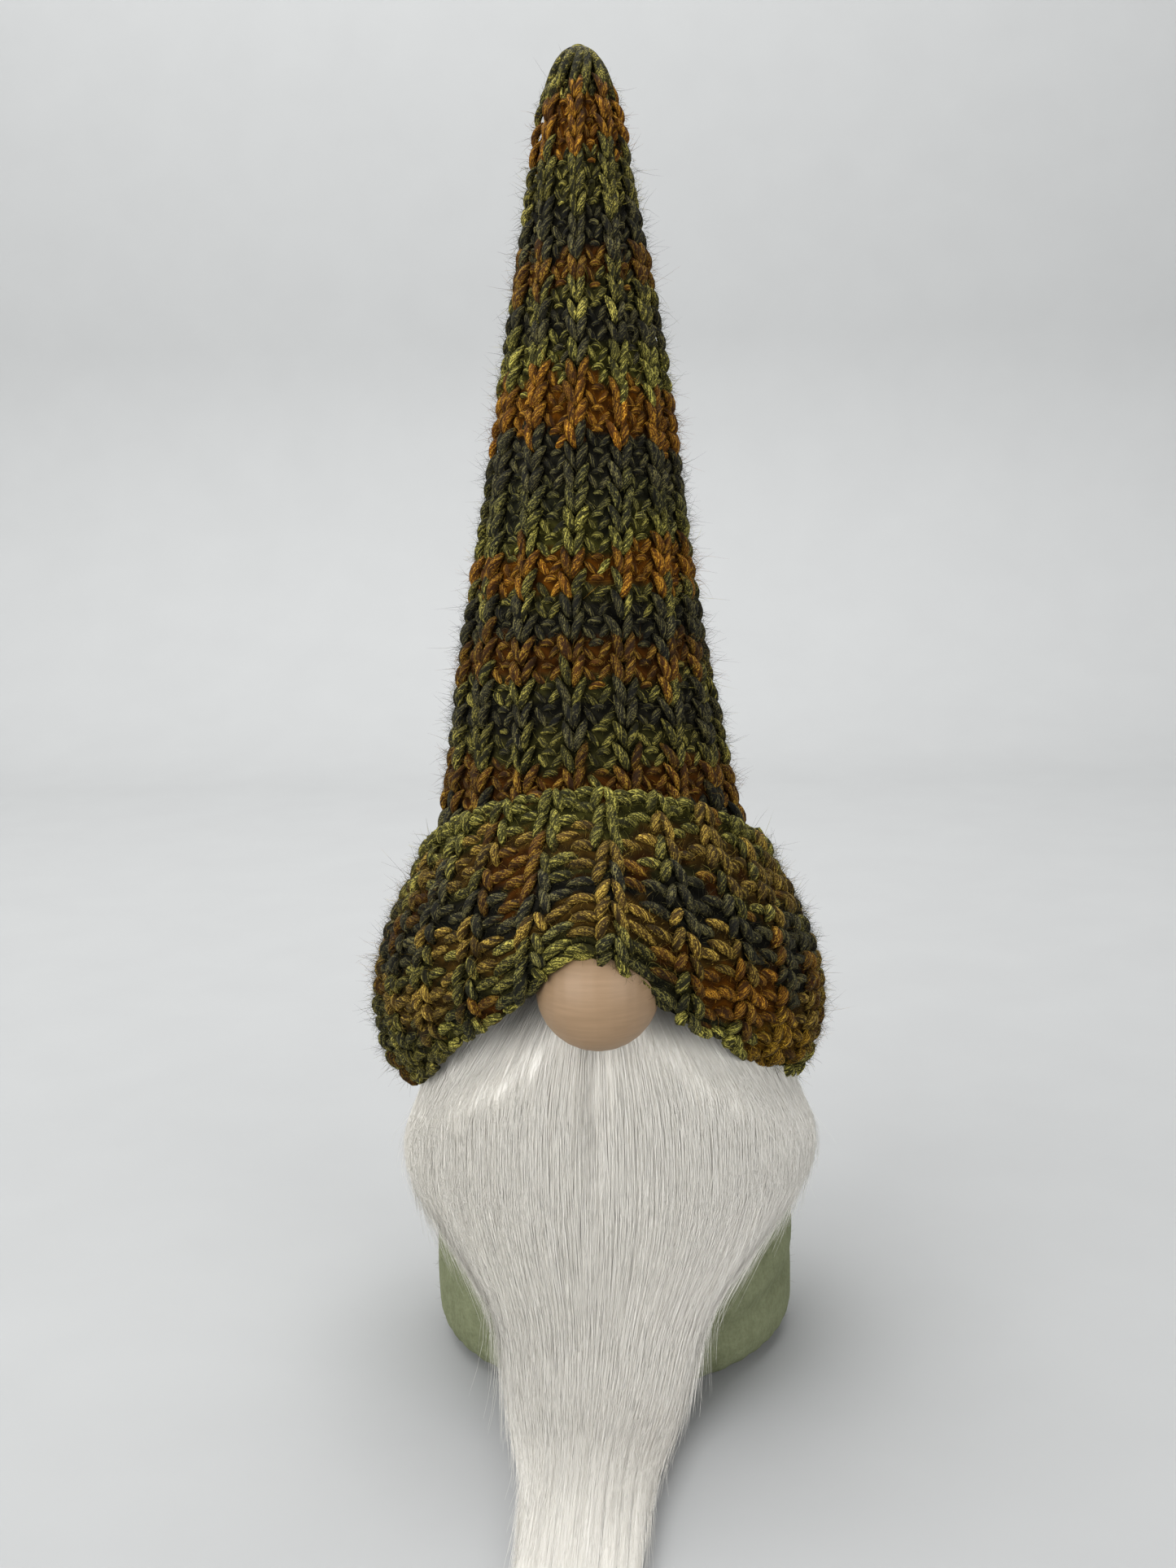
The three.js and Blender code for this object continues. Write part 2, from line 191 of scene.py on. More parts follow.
def strands(paths: Array, radii: Array, outward: Array, sides: int, twist: float = 0.0) -> Skin:
    """Closed tubes along many paths of equal length.

    A tube's ring at each path point is a regular polygon across the path, with one axis
    along the surface's outward direction, and its two end rings are capped.

    Args:
        paths: (strands, steps, 3) in millimetres.
        radii: (strands, steps).
        outward: (strands, steps, 3), the surface's normal.
        sides: corners of a ring.
        twist: turns of the fibres round the strand for each millimetre of its length.

    Returns:
        The skin, with the value "strand": millimetres along the strand and across its fibres.
    """
    count, steps = paths.shape[:2]
    forward = unit(np.gradient(paths, axis=1))
    side = unit(np.cross(forward, outward))
    lift = np.cross(side, forward)
    corner = 2 * np.pi * np.arange(sides) / sides
    reach = radii[..., None, None]
    ring = side[:, :, None] * np.cos(corner)[:, None] + lift[:, :, None] * np.sin(corner)[:, None]
    points = paths[:, :, None] + reach * ring

    index = np.arange(count * steps * sides).reshape(count, steps, sides)
    after = np.roll(index, -1, axis=2)
    quads = np.stack([index[:, :-1], index[:, 1:], after[:, 1:], after[:, :-1]], -1)
    caps = np.concatenate([index[:, 0], index[:, -1, ::-1]])

    gone = np.linalg.norm(np.diff(paths, axis=1), axis=-1)
    along = np.concatenate([np.zeros((count, 1)), np.cumsum(gone, axis=1)], axis=1)
    begin = np.random.default_rng(count).uniform(0, 400, (count, 1))
    angle = corner + 2 * np.pi * twist * along[..., None]
    place = np.stack(
        [
            np.broadcast_to((along + begin)[..., None], angle.shape),
            radii[..., None] * np.cos(angle) + begin[..., None],
            radii[..., None] * np.sin(angle),
        ],
        -1,
    )
    return Skin(points.reshape(-1, 3), [quads.reshape(-1, 4), caps], {"strand": place.reshape(-1, 3)})


def dye_strands(skin: Skin, tints: Array) -> Skin:
    """Gives a skin of strands its values "tint" and "shine".

    Args:
        skin: the strands.
        tints: (strands, 8), both linear colours of each strand.

    Returns:
        The same skin.
    """
    dye = np.repeat(tints, len(skin.points) // len(tints), axis=0)
    skin.values |= {"tint": dye[:, :4], "shine": dye[:, 4:]}
    return skin


def strand_slots(choice: Array, skin: Skin) -> Array:
    """The material of each face of a skin of strands, from one choice for each strand."""
    quads, caps = skin.faces
    return np.concatenate([np.repeat(choice, len(quads) // len(choice)), choice, choice])


def make_piece(name: str, skin: Skin, *finishes: "Finish", weld: bool = False) -> Piece:
    """Makes a smooth-shaded object at the origin out of a skin.

    Args:
        name: the piece's name.
        skin: its mesh in millimetres.
        finishes: its materials, in the order of the skin's slots.
        weld: merge vertices that fall together, as at a pole.

    Returns:
        The object, linked to the scene.
    """
    mesh = bpy.data.meshes.new(name)
    corners = np.concatenate([f.ravel() for f in skin.faces])
    sizes = np.concatenate([np.full(len(f), f.shape[1]) for f in skin.faces])
    mesh.vertices.add(len(skin.points))
    mesh.vertices.foreach_set("co", (skin.points * MM).astype(np.float32).ravel())
    mesh.loops.add(len(corners))
    mesh.loops.foreach_set("vertex_index", corners.astype(np.int32))
    mesh.polygons.add(len(sizes))
    mesh.polygons.foreach_set("loop_start", (np.cumsum(sizes) - sizes).astype(np.int32))
    if skin.slots is not None:
        mesh.polygons.foreach_set("material_index", skin.slots.astype(np.int32))
    mesh.update(calc_edges=True)
    for key, value in skin.values.items():
        kind, part = ("FLOAT_COLOR", "color") if value.shape[1] == 4 else ("FLOAT_VECTOR", "vector")
        layer = mesh.attributes.new(key, kind, "POINT")
        layer.data.foreach_set(part, value.astype(np.float32).ravel())
    mesh.shade_smooth()
    if weld:
        work = bmesh.new()
        work.from_mesh(mesh)
        bmesh.ops.remove_doubles(work, verts=work.verts, dist=1e-7)
        work.to_mesh(mesh)
        work.free()
    for finish in finishes:
        mesh.materials.append(finish.make())
    piece = bpy.data.objects.new(name, mesh)
    bpy.context.scene.collection.objects.link(piece)
    log.info("%s: %d faces", name, len(mesh.polygons))
    return piece


def node_box(name: str) -> tuple[Array, Array]:
    """Lowest and highest corner of a node of the frame, in millimetres."""
    low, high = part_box(name)
    return np.array(low) / MM, np.array(high) / MM


# ------------------------------------------------------------------ finishes
def put(tree: Tree, kind: str, settings: dict[str, Any], sockets: dict[Any, Any]):
    """Adds one shader node with its settings and links.

    Args:
        tree: the material's nodes.
        kind: the node's type, without "ShaderNode".
        settings: the node's own properties.
        sockets: by input name or number, a value, or the output socket that feeds it.

    Returns:
        The node.
    """
    node = tree.nodes.new("ShaderNode" + kind)
    for key, value in settings.items():
        setattr(node, key, value)
    for key, value in sockets.items():
        if isinstance(value, bpy.types.NodeSocket):
            tree.links.new(value, node.inputs[key])
        else:
            node.inputs[key].default_value = value
    return node


def read(tree: Tree, name: str, part: str = "Vector") -> bpy.types.NodeSocket:
    """The output of one of the mesh's own values, as a vector or as a colour."""
    return put(tree, "Attribute", {"attribute_name": name}, {}).outputs[part]


def noise_sum(tree: Tree, layers: Sequence[tuple[Any, float, float]]) -> Any:
    """Adds up noises.

    Args:
        tree: the material's nodes.
        layers: for each noise its vector socket, its scale and its weight.

    Returns:
        The sum's socket.
    """
    total = 0.0
    for vector, scale, weight in layers:
        sockets = {"Vector": vector, "Scale": scale, "Detail": 3.0}
        noise = put(tree, "TexNoise", {}, sockets).outputs["Fac"]
        added = {0: noise, 1: weight, 2: total}
        total = put(tree, "Math", {"operation": "MULTIPLY_ADD"}, added).outputs[0]
    return total


@dataclass(frozen=True)
class Finish:
    """What a surface is made of. A subclass adds its pattern.

    Attributes:
        name: the real material.
        colour: its main colour, sRGB hex.
        shade: the darker colour of its pattern.
        roughness: of its gloss, from 0 to 1.
        sheen: the soft bright rim of loose fibres, from 0 to 1.
        gloss: strength of its mirror-like light, where 0.5 is plastic's.
    """

    name: str
    colour: str
    shade: str
    roughness: float = 0.8
    sheen: float = 0.0
    gloss: float = 0.3

    def make(self) -> bpy.types.Material:
        """The material, made once and shared after that."""
        if self.name in bpy.data.materials:
            return bpy.data.materials[self.name]
        material = bpy.data.materials.new(self.name)
        material.use_nodes = True
        material.diffuse_color = linear(self.colour)
        tree = material.node_tree
        shader = tree.nodes["Principled BSDF"]
        inputs = {
            "Base Color": linear(self.colour),
            "Roughness": self.roughness,
            "Sheen Weight": self.sheen,
            "Sheen Roughness": 0.6,
            "Sheen Tint": linear(self.colour),
            "Specular IOR Level": self.gloss,
        }
        for key, value in inputs.items():
            shader.inputs[key].default_value = value
        self.dress(tree, shader)
        return material

    def dress(self, tree: Tree, shader: Node) -> None:
        """Adds the pattern's nodes."""

    def mottle(self, tree: Tree, shader: Node, amount: Any) -> None:
        """Mixes the shade with the colour by an amount from 0 to 1, as the base colour."""
        pair = {0: amount, 6: linear(self.shade), 7: linear(self.colour)}
        mix = put(tree, "Mix", {"data_type": "RGBA"}, pair)
        tree.links.new(mix.outputs[2], shader.inputs["Base Color"])

    def emboss(self, tree: Tree, shader: Node, height: Any, deep: float) -> None:
        """Raises the surface by a height from 0 to 1, deep millimetres at most."""
        bump = put(tree, "Bump", {}, {"Height": height, "Distance": deep * MM})
        tree.links.new(bump.outputs["Normal"], shader.inputs["Normal"])


@dataclass(frozen=True)
class Grained(Finish):
    """A surface with a noise grain on Object coordinates, such as felted, pressed or cast stuff.

    Attributes:
        grain: size of one grain in millimetres along X, Y and Z.
        deep: height of the grain in millimetres.
        contrast: how hard the change from shade to colour is, from 0 to 1.
        slant: how far the grain is turned off the axes, in radians.
    """

    grain: tuple[float, float, float] = (1.0, 1.0, 1.0)
    deep: float = 0.1
    contrast: float = 0.5
    slant: float = 0.0

    def dress(self, tree: Tree, shader: Node) -> None:
        """Noise of the grain's size, as colour and as height."""
        where = put(tree, "TexCoord", {}, {}).outputs["Object"]
        sockets = {
            "Vector": where,
            "Scale": [1 / (g * MM) for g in self.grain],
            "Rotation": (0.0, self.slant, self.slant),
            "Location": (17.3, 9.7, 31.9),
        }
        at = put(tree, "Mapping", {}, sockets).outputs[0]
        noise = put(tree, "TexNoise", {}, {"Vector": at, "Scale": 1.0, "Detail": 4.0}).outputs["Fac"]
        edge = 0.5 - 0.45 * (1 - self.contrast)
        sockets = {"Value": noise, "From Min": edge, "From Max": 1 - edge}
        share = put(tree, "MapRange", {}, sockets).outputs[0]
        self.mottle(tree, shader, share)
        self.emboss(tree, shader, noise, self.deep)


@dataclass(frozen=True)
class Fleece(Finish):
    """Brushed polyester fleece: matt, with a short felted nap that turns light every way.

    The nap's tufts are about half a millimetre, drawn at nearly one so that they show, over
    the 3 mm pills and the slow 14 mm clouds that handling brushes into it.
    """

    tuft: float = 0.9
    pill: float = 3.2
    cloud: float = 14.0

    def dress(self, tree: Tree, shader: Node) -> None:
        """Three noises on Object coordinates, summed for colour and for height."""
        where = put(tree, "TexCoord", {}, {}).outputs["Object"]
        sizes = ((self.tuft, 0.34), (self.pill, 0.36), (self.cloud, 0.3))
        total = noise_sum(tree, [(where, 1 / (size * MM), weight) for size, weight in sizes])
        share = put(tree, "MapRange", {}, {"Value": total, "From Min": 0.34, "From Max": 0.64})
        self.mottle(tree, shader, share.outputs[0])
        self.emboss(tree, shader, total, 1.1)


@dataclass(frozen=True)
class Yarn(Finish):
    """Loosely spun wool and mohair yarn, dyed in runs: dark at heart, with lustrous fibres.

    The vertex colour "tint" is the dye at heart, and "shine" is the colour of the lighter
    fibres, brightened as a painted highlight of their lustre. They lie along the strand, a
    quarter of a millimetre apart, which is several real fibres thick so that they show, and
    they are gathered in plies, with painted shade in the furrows between them.
    """

    fibre: float = 0.27
    ply: float = 0.95
    run: float = 4.5

    def dress(self, tree: Tree, shader: Node) -> None:
        """Stretched noises on the strand's own coordinates: fibres mix in a painted highlight,
        and plies paint shade.
        """
        strand = read(tree, "strand")
        tint = read(tree, "tint", "Color")
        shine = read(tree, "shine", "Color")
        share = []
        heights = []
        for size, low, high in ((self.fibre, 0.47, 0.62), (self.ply, 0.34, 0.56)):
            scale = [1 / self.run, 1 / size, 1 / size]
            at = put(tree, "Mapping", {}, {"Vector": strand, "Scale": scale}).outputs[0]
            sockets = {"Vector": at, "Scale": 1.0, "Detail": 1.5}
            heights.append(put(tree, "TexNoise", {}, sockets).outputs["Fac"])
            sockets = {"Value": heights[-1], "From Min": low, "From Max": high}
            share.append(put(tree, "MapRange", {"interpolation_type": "SMOOTHSTEP"}, sockets).outputs[0])
        # painted highlight: the fibres take the shine colour only on the crests of the plies
        bright = put(tree, "Math", {"operation": "MULTIPLY"}, {0: share[0], 1: share[1]}).outputs[0]
        mix = put(tree, "Mix", {"data_type": "RGBA"}, {0: bright, 6: tint, 7: shine}).outputs[2]
        # painted shade and highlight: the colour falls to 0.45 in the ply furrows and rises to 1.1 on
        # their crests
        furrow = put(tree, "MapRange", {}, {"Value": share[1], "To Min": 0.45, "To Max": 1.1}).outputs[0]
        scaled = put(tree, "VectorMath", {"operation": "SCALE"}, {0: mix, "Scale": furrow})
        tree.links.new(scaled.outputs[0], shader.inputs["Base Color"])
        sockets = {0: heights[0], 1: 0.35, 2: heights[1]}
        total = put(tree, "Math", {"operation": "MULTIPLY_ADD"}, sockets).outputs[0]
        self.emboss(tree, shader, total, 0.8)


@dataclass(frozen=True)
class Ground(Finish):
    """The knitting seen between its stitches: the same dye in shadow, with its rows as relief.

    The dye comes from the vertex colour "tint", and rows of V stitches follow the vertex value
    "knit", which counts stitches across and rows up.
    """

    def dress(self, tree: Tree, shader: Node) -> None:
        """Height is the cosine of rows up, shifted by the distance from the stitch's middle; it
        darkens the tint as painted shade between the rows, and raises the bump.
        """
        knit = read(tree, "knit")
        tint = read(tree, "tint", "Color")
        parts = put(tree, "SeparateXYZ", {}, {0: knit})
        arm = put(tree, "Math", {"operation": "PINGPONG"}, {0: parts.outputs[0], 1: 0.5})
        rise = put(tree, "Math", {"operation": "SUBTRACT"}, {0: parts.outputs[1], 1: arm.outputs[0]})
        turn = put(tree, "Math", {"operation": "MULTIPLY"}, {0: rise.outputs[0], 1: 2 * math.pi})
        wave = put(tree, "Math", {"operation": "COSINE"}, {0: turn.outputs[0]})
        sockets = {"Value": wave.outputs[0], "From Min": -1.0, "To Min": 0.35, "To Max": 1.0}
        height = put(tree, "MapRange", {}, sockets).outputs[0]
        # painted shade: the tint falls to 0.35 of itself in the troughs between rows
        scaled = put(tree, "VectorMath", {"operation": "SCALE"}, {0: tint, "Scale": height})
        tree.links.new(scaled.outputs[0], shader.inputs["Base Color"])
        self.emboss(tree, shader, height, 1.2)


@dataclass(frozen=True)
class Pile(Finish):
    """The body of the fur beneath its outer hairs: fine pale streaks along the way it lies.

    The streaks follow the vertex value "lie": millimetres across the beard and down it.
    """

    hair: float = 0.45
    lock: float = 2.6
    run: float = 26.0

    def dress(self, tree: Tree, shader: Node) -> None:
        """Two stretched noises, for hairs and for locks, are added as colour and height."""
        layers = []
        for size, weight in ((self.hair, 0.55), (self.lock, 0.45)):
            scale = [1 / size, 1 / self.run, 1.0]
            at = put(tree, "Mapping", {}, {"Vector": read(tree, "lie"), "Scale": scale}).outputs[0]
            layers.append((at, 1.0, weight))
        total = noise_sum(tree, layers)
        share = put(tree, "MapRange", {}, {"Value": total, "From Min": 0.36, "From Max": 0.62})
        self.mottle(tree, shader, share.outputs[0])
        self.emboss(tree, shader, total, 0.25)


# Each hair of the fur has one of four near tones.
HAIR_TONES = tuple(
    Finish(f"faux fur hair, {name}", tone, tone, 0.5, 0.15, 0.25)
    for name, tone in (
        ("white", "#e3e0d9"),
        ("ivory", "#e0ddd5"),
        ("pearl", "#dddad2"),
        ("shadow", "#d8d4cb"),
    )
)
NAP = Finish("fleece nap", "#72775b", "#5d6148", 0.9, 0.1, 0.1)
PILE = Pile("faux fur pile", "#e2dfd8", "#dcd8d0", 0.6, 0.1, 0.2)
YARN = Yarn("wool and mohair yarn", "#6b6b2c", "#2c2f22", 0.7, 0.05, 0.12)
GROUND = Ground("knitted wool, in its depth", "#34351f", "#1c1e15", 0.95, 0.0, 0.05)
FLEECE = Fleece("brushed polyester fleece", "#777c60", "#5d6148", 0.96, 0.2, 0.1)
# Sanded beech has close dark flecks a few millimetres long over a pale, warm ground.
BEECH = Grained("sanded beech", "#90765a", "#826a4f", 0.5, 0.0, 0.4, (16.0, 5.0, 0.9), 0.015, 0.35, 0.12)
# Hot-melt glue sets cloudy, with a soft gloss and low waves.
GLUE = Grained("hot-melt glue", "#ddd8c2", "#c9c2a6", 0.3, 0.0, 0.5, (3.0, 3.0, 3.0), 0.2)
# Grey board is pressed from short fibres that leave flecks.
CARD = Grained("grey board", "#b3946a", "#957750", 0.9, 0.0, 0.2, (0.9, 0.4, 0.4), 0.05, 0.8)
# Unbleached muslin is an open plain weave of slubbed threads.
MUSLIN = Grained("unbleached muslin", "#dccfb4", "#bfae8c", 0.92, 0.2, 0.2, (0.5, 0.5, 2.0), 0.15, 0.7)
# Polyester wadding is a cloud of crimped fibres.
WADDING = Grained("polyester wadding", "#f2f1ee", "#d9d8d6", 0.95, 0.4, 0.2, (2.2, 2.2, 2.2), 1.2, 0.5)
# The fur's backing is a close warp knit, so it shows fine ribs.
BACKING = Grained("warp-knitted backing", "#e3ddd5", "#c6beb3", 0.9, 0.2, 0.2, (0.5, 0.5, 1.4), 0.2, 0.8)
# Buttonhole thread has two plies with a waxed sheen.
THREAD = Grained("waxed thread", "#96a07f", "#6f7a5c", 0.6, 0.1, 0.4, (0.3, 0.3, 0.5), 0.1, 0.8)
# Painted board for the stage, with a grain too slight to see.
STAGE = Grained("matt pale board", "#a1a2a2", "#9fa0a0", 0.9, 0.0, 0.1, (40.0, 40.0, 40.0), 0.0)


class Dye(Enum):
    """The colours of the hand-dyed yarn: at heart, and on its lighter fibres, made brighter than their dye
    as a painted highlight.
    """

    CHARCOAL = ("#15140f", "#5c5633")
    FOREST = ("#1b1b10", "#726c37")
    OLIVE = ("#27250f", "#8a803b")
    LIME = ("#312f10", "#9d9445")
    OCHRE = ("#3b2a0c", "#967d34")
    GOLD = ("#493106", "#a88528")
    RUST = ("#3b2004", "#846621")
    ORANGE = ("#4a2903", "#9b701f")

    @property
    def tint(self) -> Array:
        """Both linear colours as one row of eight numbers."""
        return np.concatenate([linear(code) for code in self.value])


def dyed(rows: Sequence[tuple[float, Dye]], at: Array) -> Array:
    """The dye of a run of yarn that changes at given places.

    Args:
        rows: (end of the run, dye), rising.
        at: places along it.

    Returns:
        Pairs of linear colours, (..., 8).
    """
    ends = [end for end, _ in rows[:-1]]
    tints = np.stack([dye.tint for _, dye in rows])
    return tints[np.searchsorted(ends, at)]


def uneven(tint: Array, seed: int, amount: float) -> Array:
    """Makes each stitch a little lighter or darker, by the same share in all its colours."""
    share = np.exp(np.random.default_rng(seed).normal(0, amount, len(tint)))[:, None]
    return np.clip(tint * share, 0, 1)


# ------------------------------------------------------------------ stitches
TWIST = 0.085  # turns of the yarn's fibres for each millimetre of its length


@dataclass(frozen=True)
class Stitch:
    """One visible loop of yarn, as a strand over the knitting's surface.

    Its middle line is a quadratic curve from its start, by its bend, to its end, each given as
    (across, up, out) in millimetres from the stitch's own place. Its ends dive into the work.

    Attributes:
        start: where it comes out of the work.
        bend: the curve's control point.
        end: where it goes back in.
        radius: of the yarn at the middle of the loop.
    """

    start: tuple[float, float, float]
    bend: tuple[float, float, float]
    end: tuple[float, float, float]
    radius: float
    steps: int = 7

    def line(self) -> Array:
        """The middle line: (1-t)^2 start + 2t(1-t) bend + t^2 end, over its steps."""
        t = np.linspace(0, 1, self.steps)[:, None]
        start, bend, end = map(np.array, (self.start, self.bend, self.end))
        return (1 - t) ** 2 * start + 2 * t * (1 - t) * bend + t * t * end

    def girth(self) -> Array:
        """The yarn's radius along it: 0.3 of it at the ends, swelling as the root of a sine."""
        t = np.linspace(0, 1, self.steps)
        return self.radius * (0.3 + 0.7 * np.sin(np.pi * t) ** 0.55)

    def mirrored(self) -> "Stitch":
        """The same loop on the other side of the stitch's middle."""
        flip = [(-x, y, z) for x, y, z in (self.start, self.bend, self.end)]
        return Stitch(*flip, self.radius, self.steps)


@dataclass
class Fabric:
    """Collects stitches as paths over one knitted surface, and makes them one skin.

    Attributes:
        sides: corners of a strand's ring.
        seed: fixes how uneven the knitting is.
    """

    sides: int = 6
    seed: int = 5
    paths: list[Array] = field(default_factory=list)
    radii: list[Array] = field(default_factory=list)
    normals: list[Array] = field(default_factory=list)
    tints: list[Array] = field(default_factory=list)

    def lay(self, stitch: Stitch, count: int, widen: Array | float = 1.0) -> tuple[Array, Array]:
        """The local lines of a stitch worked many times, each one a little uneven.

        Args:
            stitch: the loop.
            count: how many times it is worked.
            widen: scale across, for each one or for all.

        Returns:
            Lines (count, steps, 3) as across, up and out, and radii (count, steps).
        """
        self.seed += 1
        rng = np.random.default_rng(self.seed)
        line = np.repeat(stitch.line()[None], count, axis=0)
        line *= rng.normal(1, 0.07, (count, 1, 3))
        line += rng.normal(0, 0.22, (count, 1, 3)) * (1, 1, 0.6)
        tilt = rng.normal(0, 0.08, (count, 1))
        across, up = line[..., 0], line[..., 1]
        line[..., 0], line[..., 1] = across - tilt * up, up + tilt * across
        line[..., 0] *= np.reshape(widen, (-1, 1))
        girth = stitch.girth() * rng.normal(1, 0.09, (count, 1))
        return line, girth

    def add(self, paths: Array, radii: Array, normals: Array, tints: Array) -> None:
        """Keeps placed strands: paths and normals (n, steps, 3), radii (n, steps), tints (n, 8)."""
        self.paths.append(paths)
        self.radii.append(radii)
        self.normals.append(normals)
        self.tints.append(tints)

    def skin(self) -> Skin:
        """All the strands as one skin with the values "strand", "tint" and "shine"."""
        paths, radii, normals = map(np.concatenate, (self.paths, self.radii, self.normals))
        made = strands(paths, radii, normals, self.sides, TWIST)
        return dye_strands(made, np.concatenate(self.tints))


@dataclass(frozen=True)
class Fibres:
    """Loose fibres: how many, their usual length in millimetres, and the points along each."""

    count: int
    reach: float
    rings: int


def fuzz(seed: int, roots: Array, normals: Array, fibres: Fibres, tint: Array) -> Skin:
    """Loose fibres that stand out of the knitting.

    Each starts under the surface, leaves it at a random slant and bends on its way:
    root + out * t + sideways * t^2, with t from 0 to 1.

    Args:
        seed: fixes them.
        roots: (n, 3) places on the surface.
        normals: (n, 3) outward directions there.
        fibres: their kind; the longest is 2.1 times as long as usual.
        tint: (n, 8) dyes.

    Returns:
        The fibres as thin three-sided strands with the values "tint" and "shine".
    """
    rng = np.random.default_rng(seed)
    count = len(roots)
    t = np.linspace(0, 1, fibres.rings)[None, :, None]
    length = fibres.reach * np.minimum(rng.gamma(3.0, 1 / 3.0, (count, 1, 1)), 2.1)
    out = unit(normals + rng.normal(0, 0.75, (count, 3)))[:, None]
    bend = rng.normal(0, 0.45, (count, 1, 3))
    paths = roots[:, None] - 0.4 * normals[:, None] + length * (out * t + bend * t * t)
    radii = 0.045 * (1.15 - t[..., 0]) * np.ones((count, 1))
    up = np.broadcast_to(unit(np.cross(out, bend)), paths.shape)
    return dye_strands(strands(paths, radii, up, 3), uneven(tint, seed, 0.3))


# ------------------------------------------------------------------ body
@dataclass
class Body:
    """The weighted fleece body: sleeve, base, neck tie and stuffing.

    Attributes:
        side: (height, radius) of the sleeve's outside above its rounded foot.
        corner: radius of the rounded foot.
        cloth: thickness of the fleece.
        hem: radius of the hole that the base is sewn into.
        pleats: gathers round the neck.
        base_stitches: stitches that sew the base in, each with its pucker.
        nap_fibres: the brushed fibres that are seen.
    """

    side: Rows = (
        (9.3, 49), (55, 49), (70, 48), (85, 46.5), (97, 44.3), (108, 41), (119, 36.6),
        (131, 31), (143, 23.5), (151, 15), (155, 8.5), (158, 6.5), (161, 7.5), (166, 11),
    )
    corner: float = 9.0
    cloth: float = 2.2
    hem: float = 39.0
    pleats: int = 15
    base_stitches: int = 46
    nap_fibres: Fibres = Fibres(8000, 0.9, 3)

    def radius(self, z: Array) -> Array:
        """Outside radius of the sleeve at a height."""
        return curve(self.side, z)

    def outline(self) -> tuple[Array, Array]:
        """Radius and height up the outside: a quarter round, then the side's curve."""
        angle = np.radians(np.linspace(-90, 0, 10))
        centre = self.radius(np.array(0.0)) - self.corner
        foot = self.side[0][0]
        radius = centre + self.corner * np.cos(angle)
        height = foot + self.corner * np.sin(angle)
        z = np.concatenate([np.linspace(foot + 2, 108, 40), np.linspace(110, 166, 40)])
        radius = np.concatenate([[self.hem], radius, self.radius(z)])
        return radius, np.concatenate([[0.3], height, z])

    def wrinkles(self, turn: Array, z: Array) -> Array:
        """How far the cloth stands off its smooth shape, in millimetres.

        The sum of soft handling dents, a tuck low on the right, small puckers at the base
        seam, the valley of the back seam, and gathers that grow towards the neck.
        """
        wide = self.side[0][1]
        spots = np.broadcast_arrays(wide * np.sin(turn), wide * np.cos(turn), z + 0 * turn)
        round_place = np.stack(spots, -1)
        dents = 0.45 * ripple(11, round_place, 42.0) * step(z, 4, 20) * (1 - step(z, 120, 150))
        across = np.degrees(turn)
        tuck_line = 13 + 0.16 * (across - 30)
        tuck = -2.0 * bell(z - tuck_line, 3.2) * bell(across - 52, 24)
        swell = 0.9 * bell(z - tuck_line - 7, 5.0) * bell(across - 52, 30)
        pucker = 0.28 * np.cos(self.base_stitches * turn + 1.2 * np.sin(5 * turn)) * bell(z - 2.5, 4.0)
        from_back = np.pi - np.abs(turn)
        seam = -0.9 * bell(from_back * wide, 1.3) * (1 - step(z, 140, 158))
        phase = self.pleats * turn + 0.9 * np.sin(3 * turn) + 0.5 * np.sin(7 * turn + 1)
        gathers = np.cos(phase) * (1.5 * step(z, 112, 146) * (1 - step(z, 148, 157)))
        ruffle = np.cos(phase) * 1.3 * step(z, 159, 166)
        return dents + tuck + swell + pucker + seam + gathers + ruffle

    def sleeve(self) -> Piece:
        """The fleece: a thick wall round the outline, with its wrinkles on both faces."""
        radius, z = self.outline()
        thin = self.cloth * (1 - 0.35 * step(z, 140, 156))
        inner_z = np.where(z < self.side[0][0], z + self.cloth * (1 - step(z, 3, 12)), z)
        profile = np.concatenate([radius, (radius - thin)[::-1]])
        height = np.concatenate([z, inner_z[::-1]])
        profile[-1] = self.hem
        turn = whole_turn(240)
        stand = self.wrinkles(turn[None], height[:, None])
        full = step(profile - self.hem, 0, 3)[:, None]
        full = np.maximum(full, step(height, 20, 30)[:, None])
        points = round_z(np.maximum(profile[:, None] + stand * full, 2.0), turn, height[:, None])
        piece = make_piece("fleece_sleeve", grid(points, True, True), FLEECE)
        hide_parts("body_fleece")
        return piece

    def nap(self) -> Piece:
        """The short brushed fibres that soften the sleeve's outline, where it is seen."""
        rng = np.random.default_rng(35)
        z = rng.uniform(3, 118, self.nap_fibres.count)
        turn = rng.uniform(-np.pi, np.pi, len(z))
        below = np.maximum(self.side[0][0] - z, 0)
        corner = self.corner - np.sqrt(np.maximum(self.corner**2 - below**2, 0))
        radius = self.radius(z) - corner + self.wrinkles(turn, z)
        out = round_z(np.ones_like(z), turn, 0 * z)
        skin = fuzz(36, round_z(radius, turn, z), out, self.nap_fibres, np.ones((len(z), 8)))
        return make_piece("fleece_nap", Skin(skin.points, skin.faces), NAP)

    def base(self) -> Piece:
        """The base: a fleece disc with a rounded rim, pulled in by small stitches."""
        _, high = node_box("base_fleece")
        radius, thick = high[0], high[2]
        share = np.linspace(0, 1, 14)
        flat = radius - 1.0
        angle = np.radians(np.linspace(-90, 90, 9))
        rim_r = flat + np.cos(angle)
        rim_z = thick / 2 * (1 + np.sin(angle))
        profile = np.concatenate([flat * share[:-1], rim_r, flat * share[-2::-1]])
        height = np.concatenate([0 * share[:-1], rim_z, thick + 0 * share[1:]])
        turn = whole_turn(180)
        pull = -0.22 * (1 + np.cos(self.base_stitches * turn)) * step(profile[:, None], flat - 4, radius)
        points = round_z(profile[:, None] + pull, turn, height[:, None])
        piece = make_piece("fleece_base", grid(points, False, True), FLEECE, weld=True)
        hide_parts("base_fleece")
        return piece

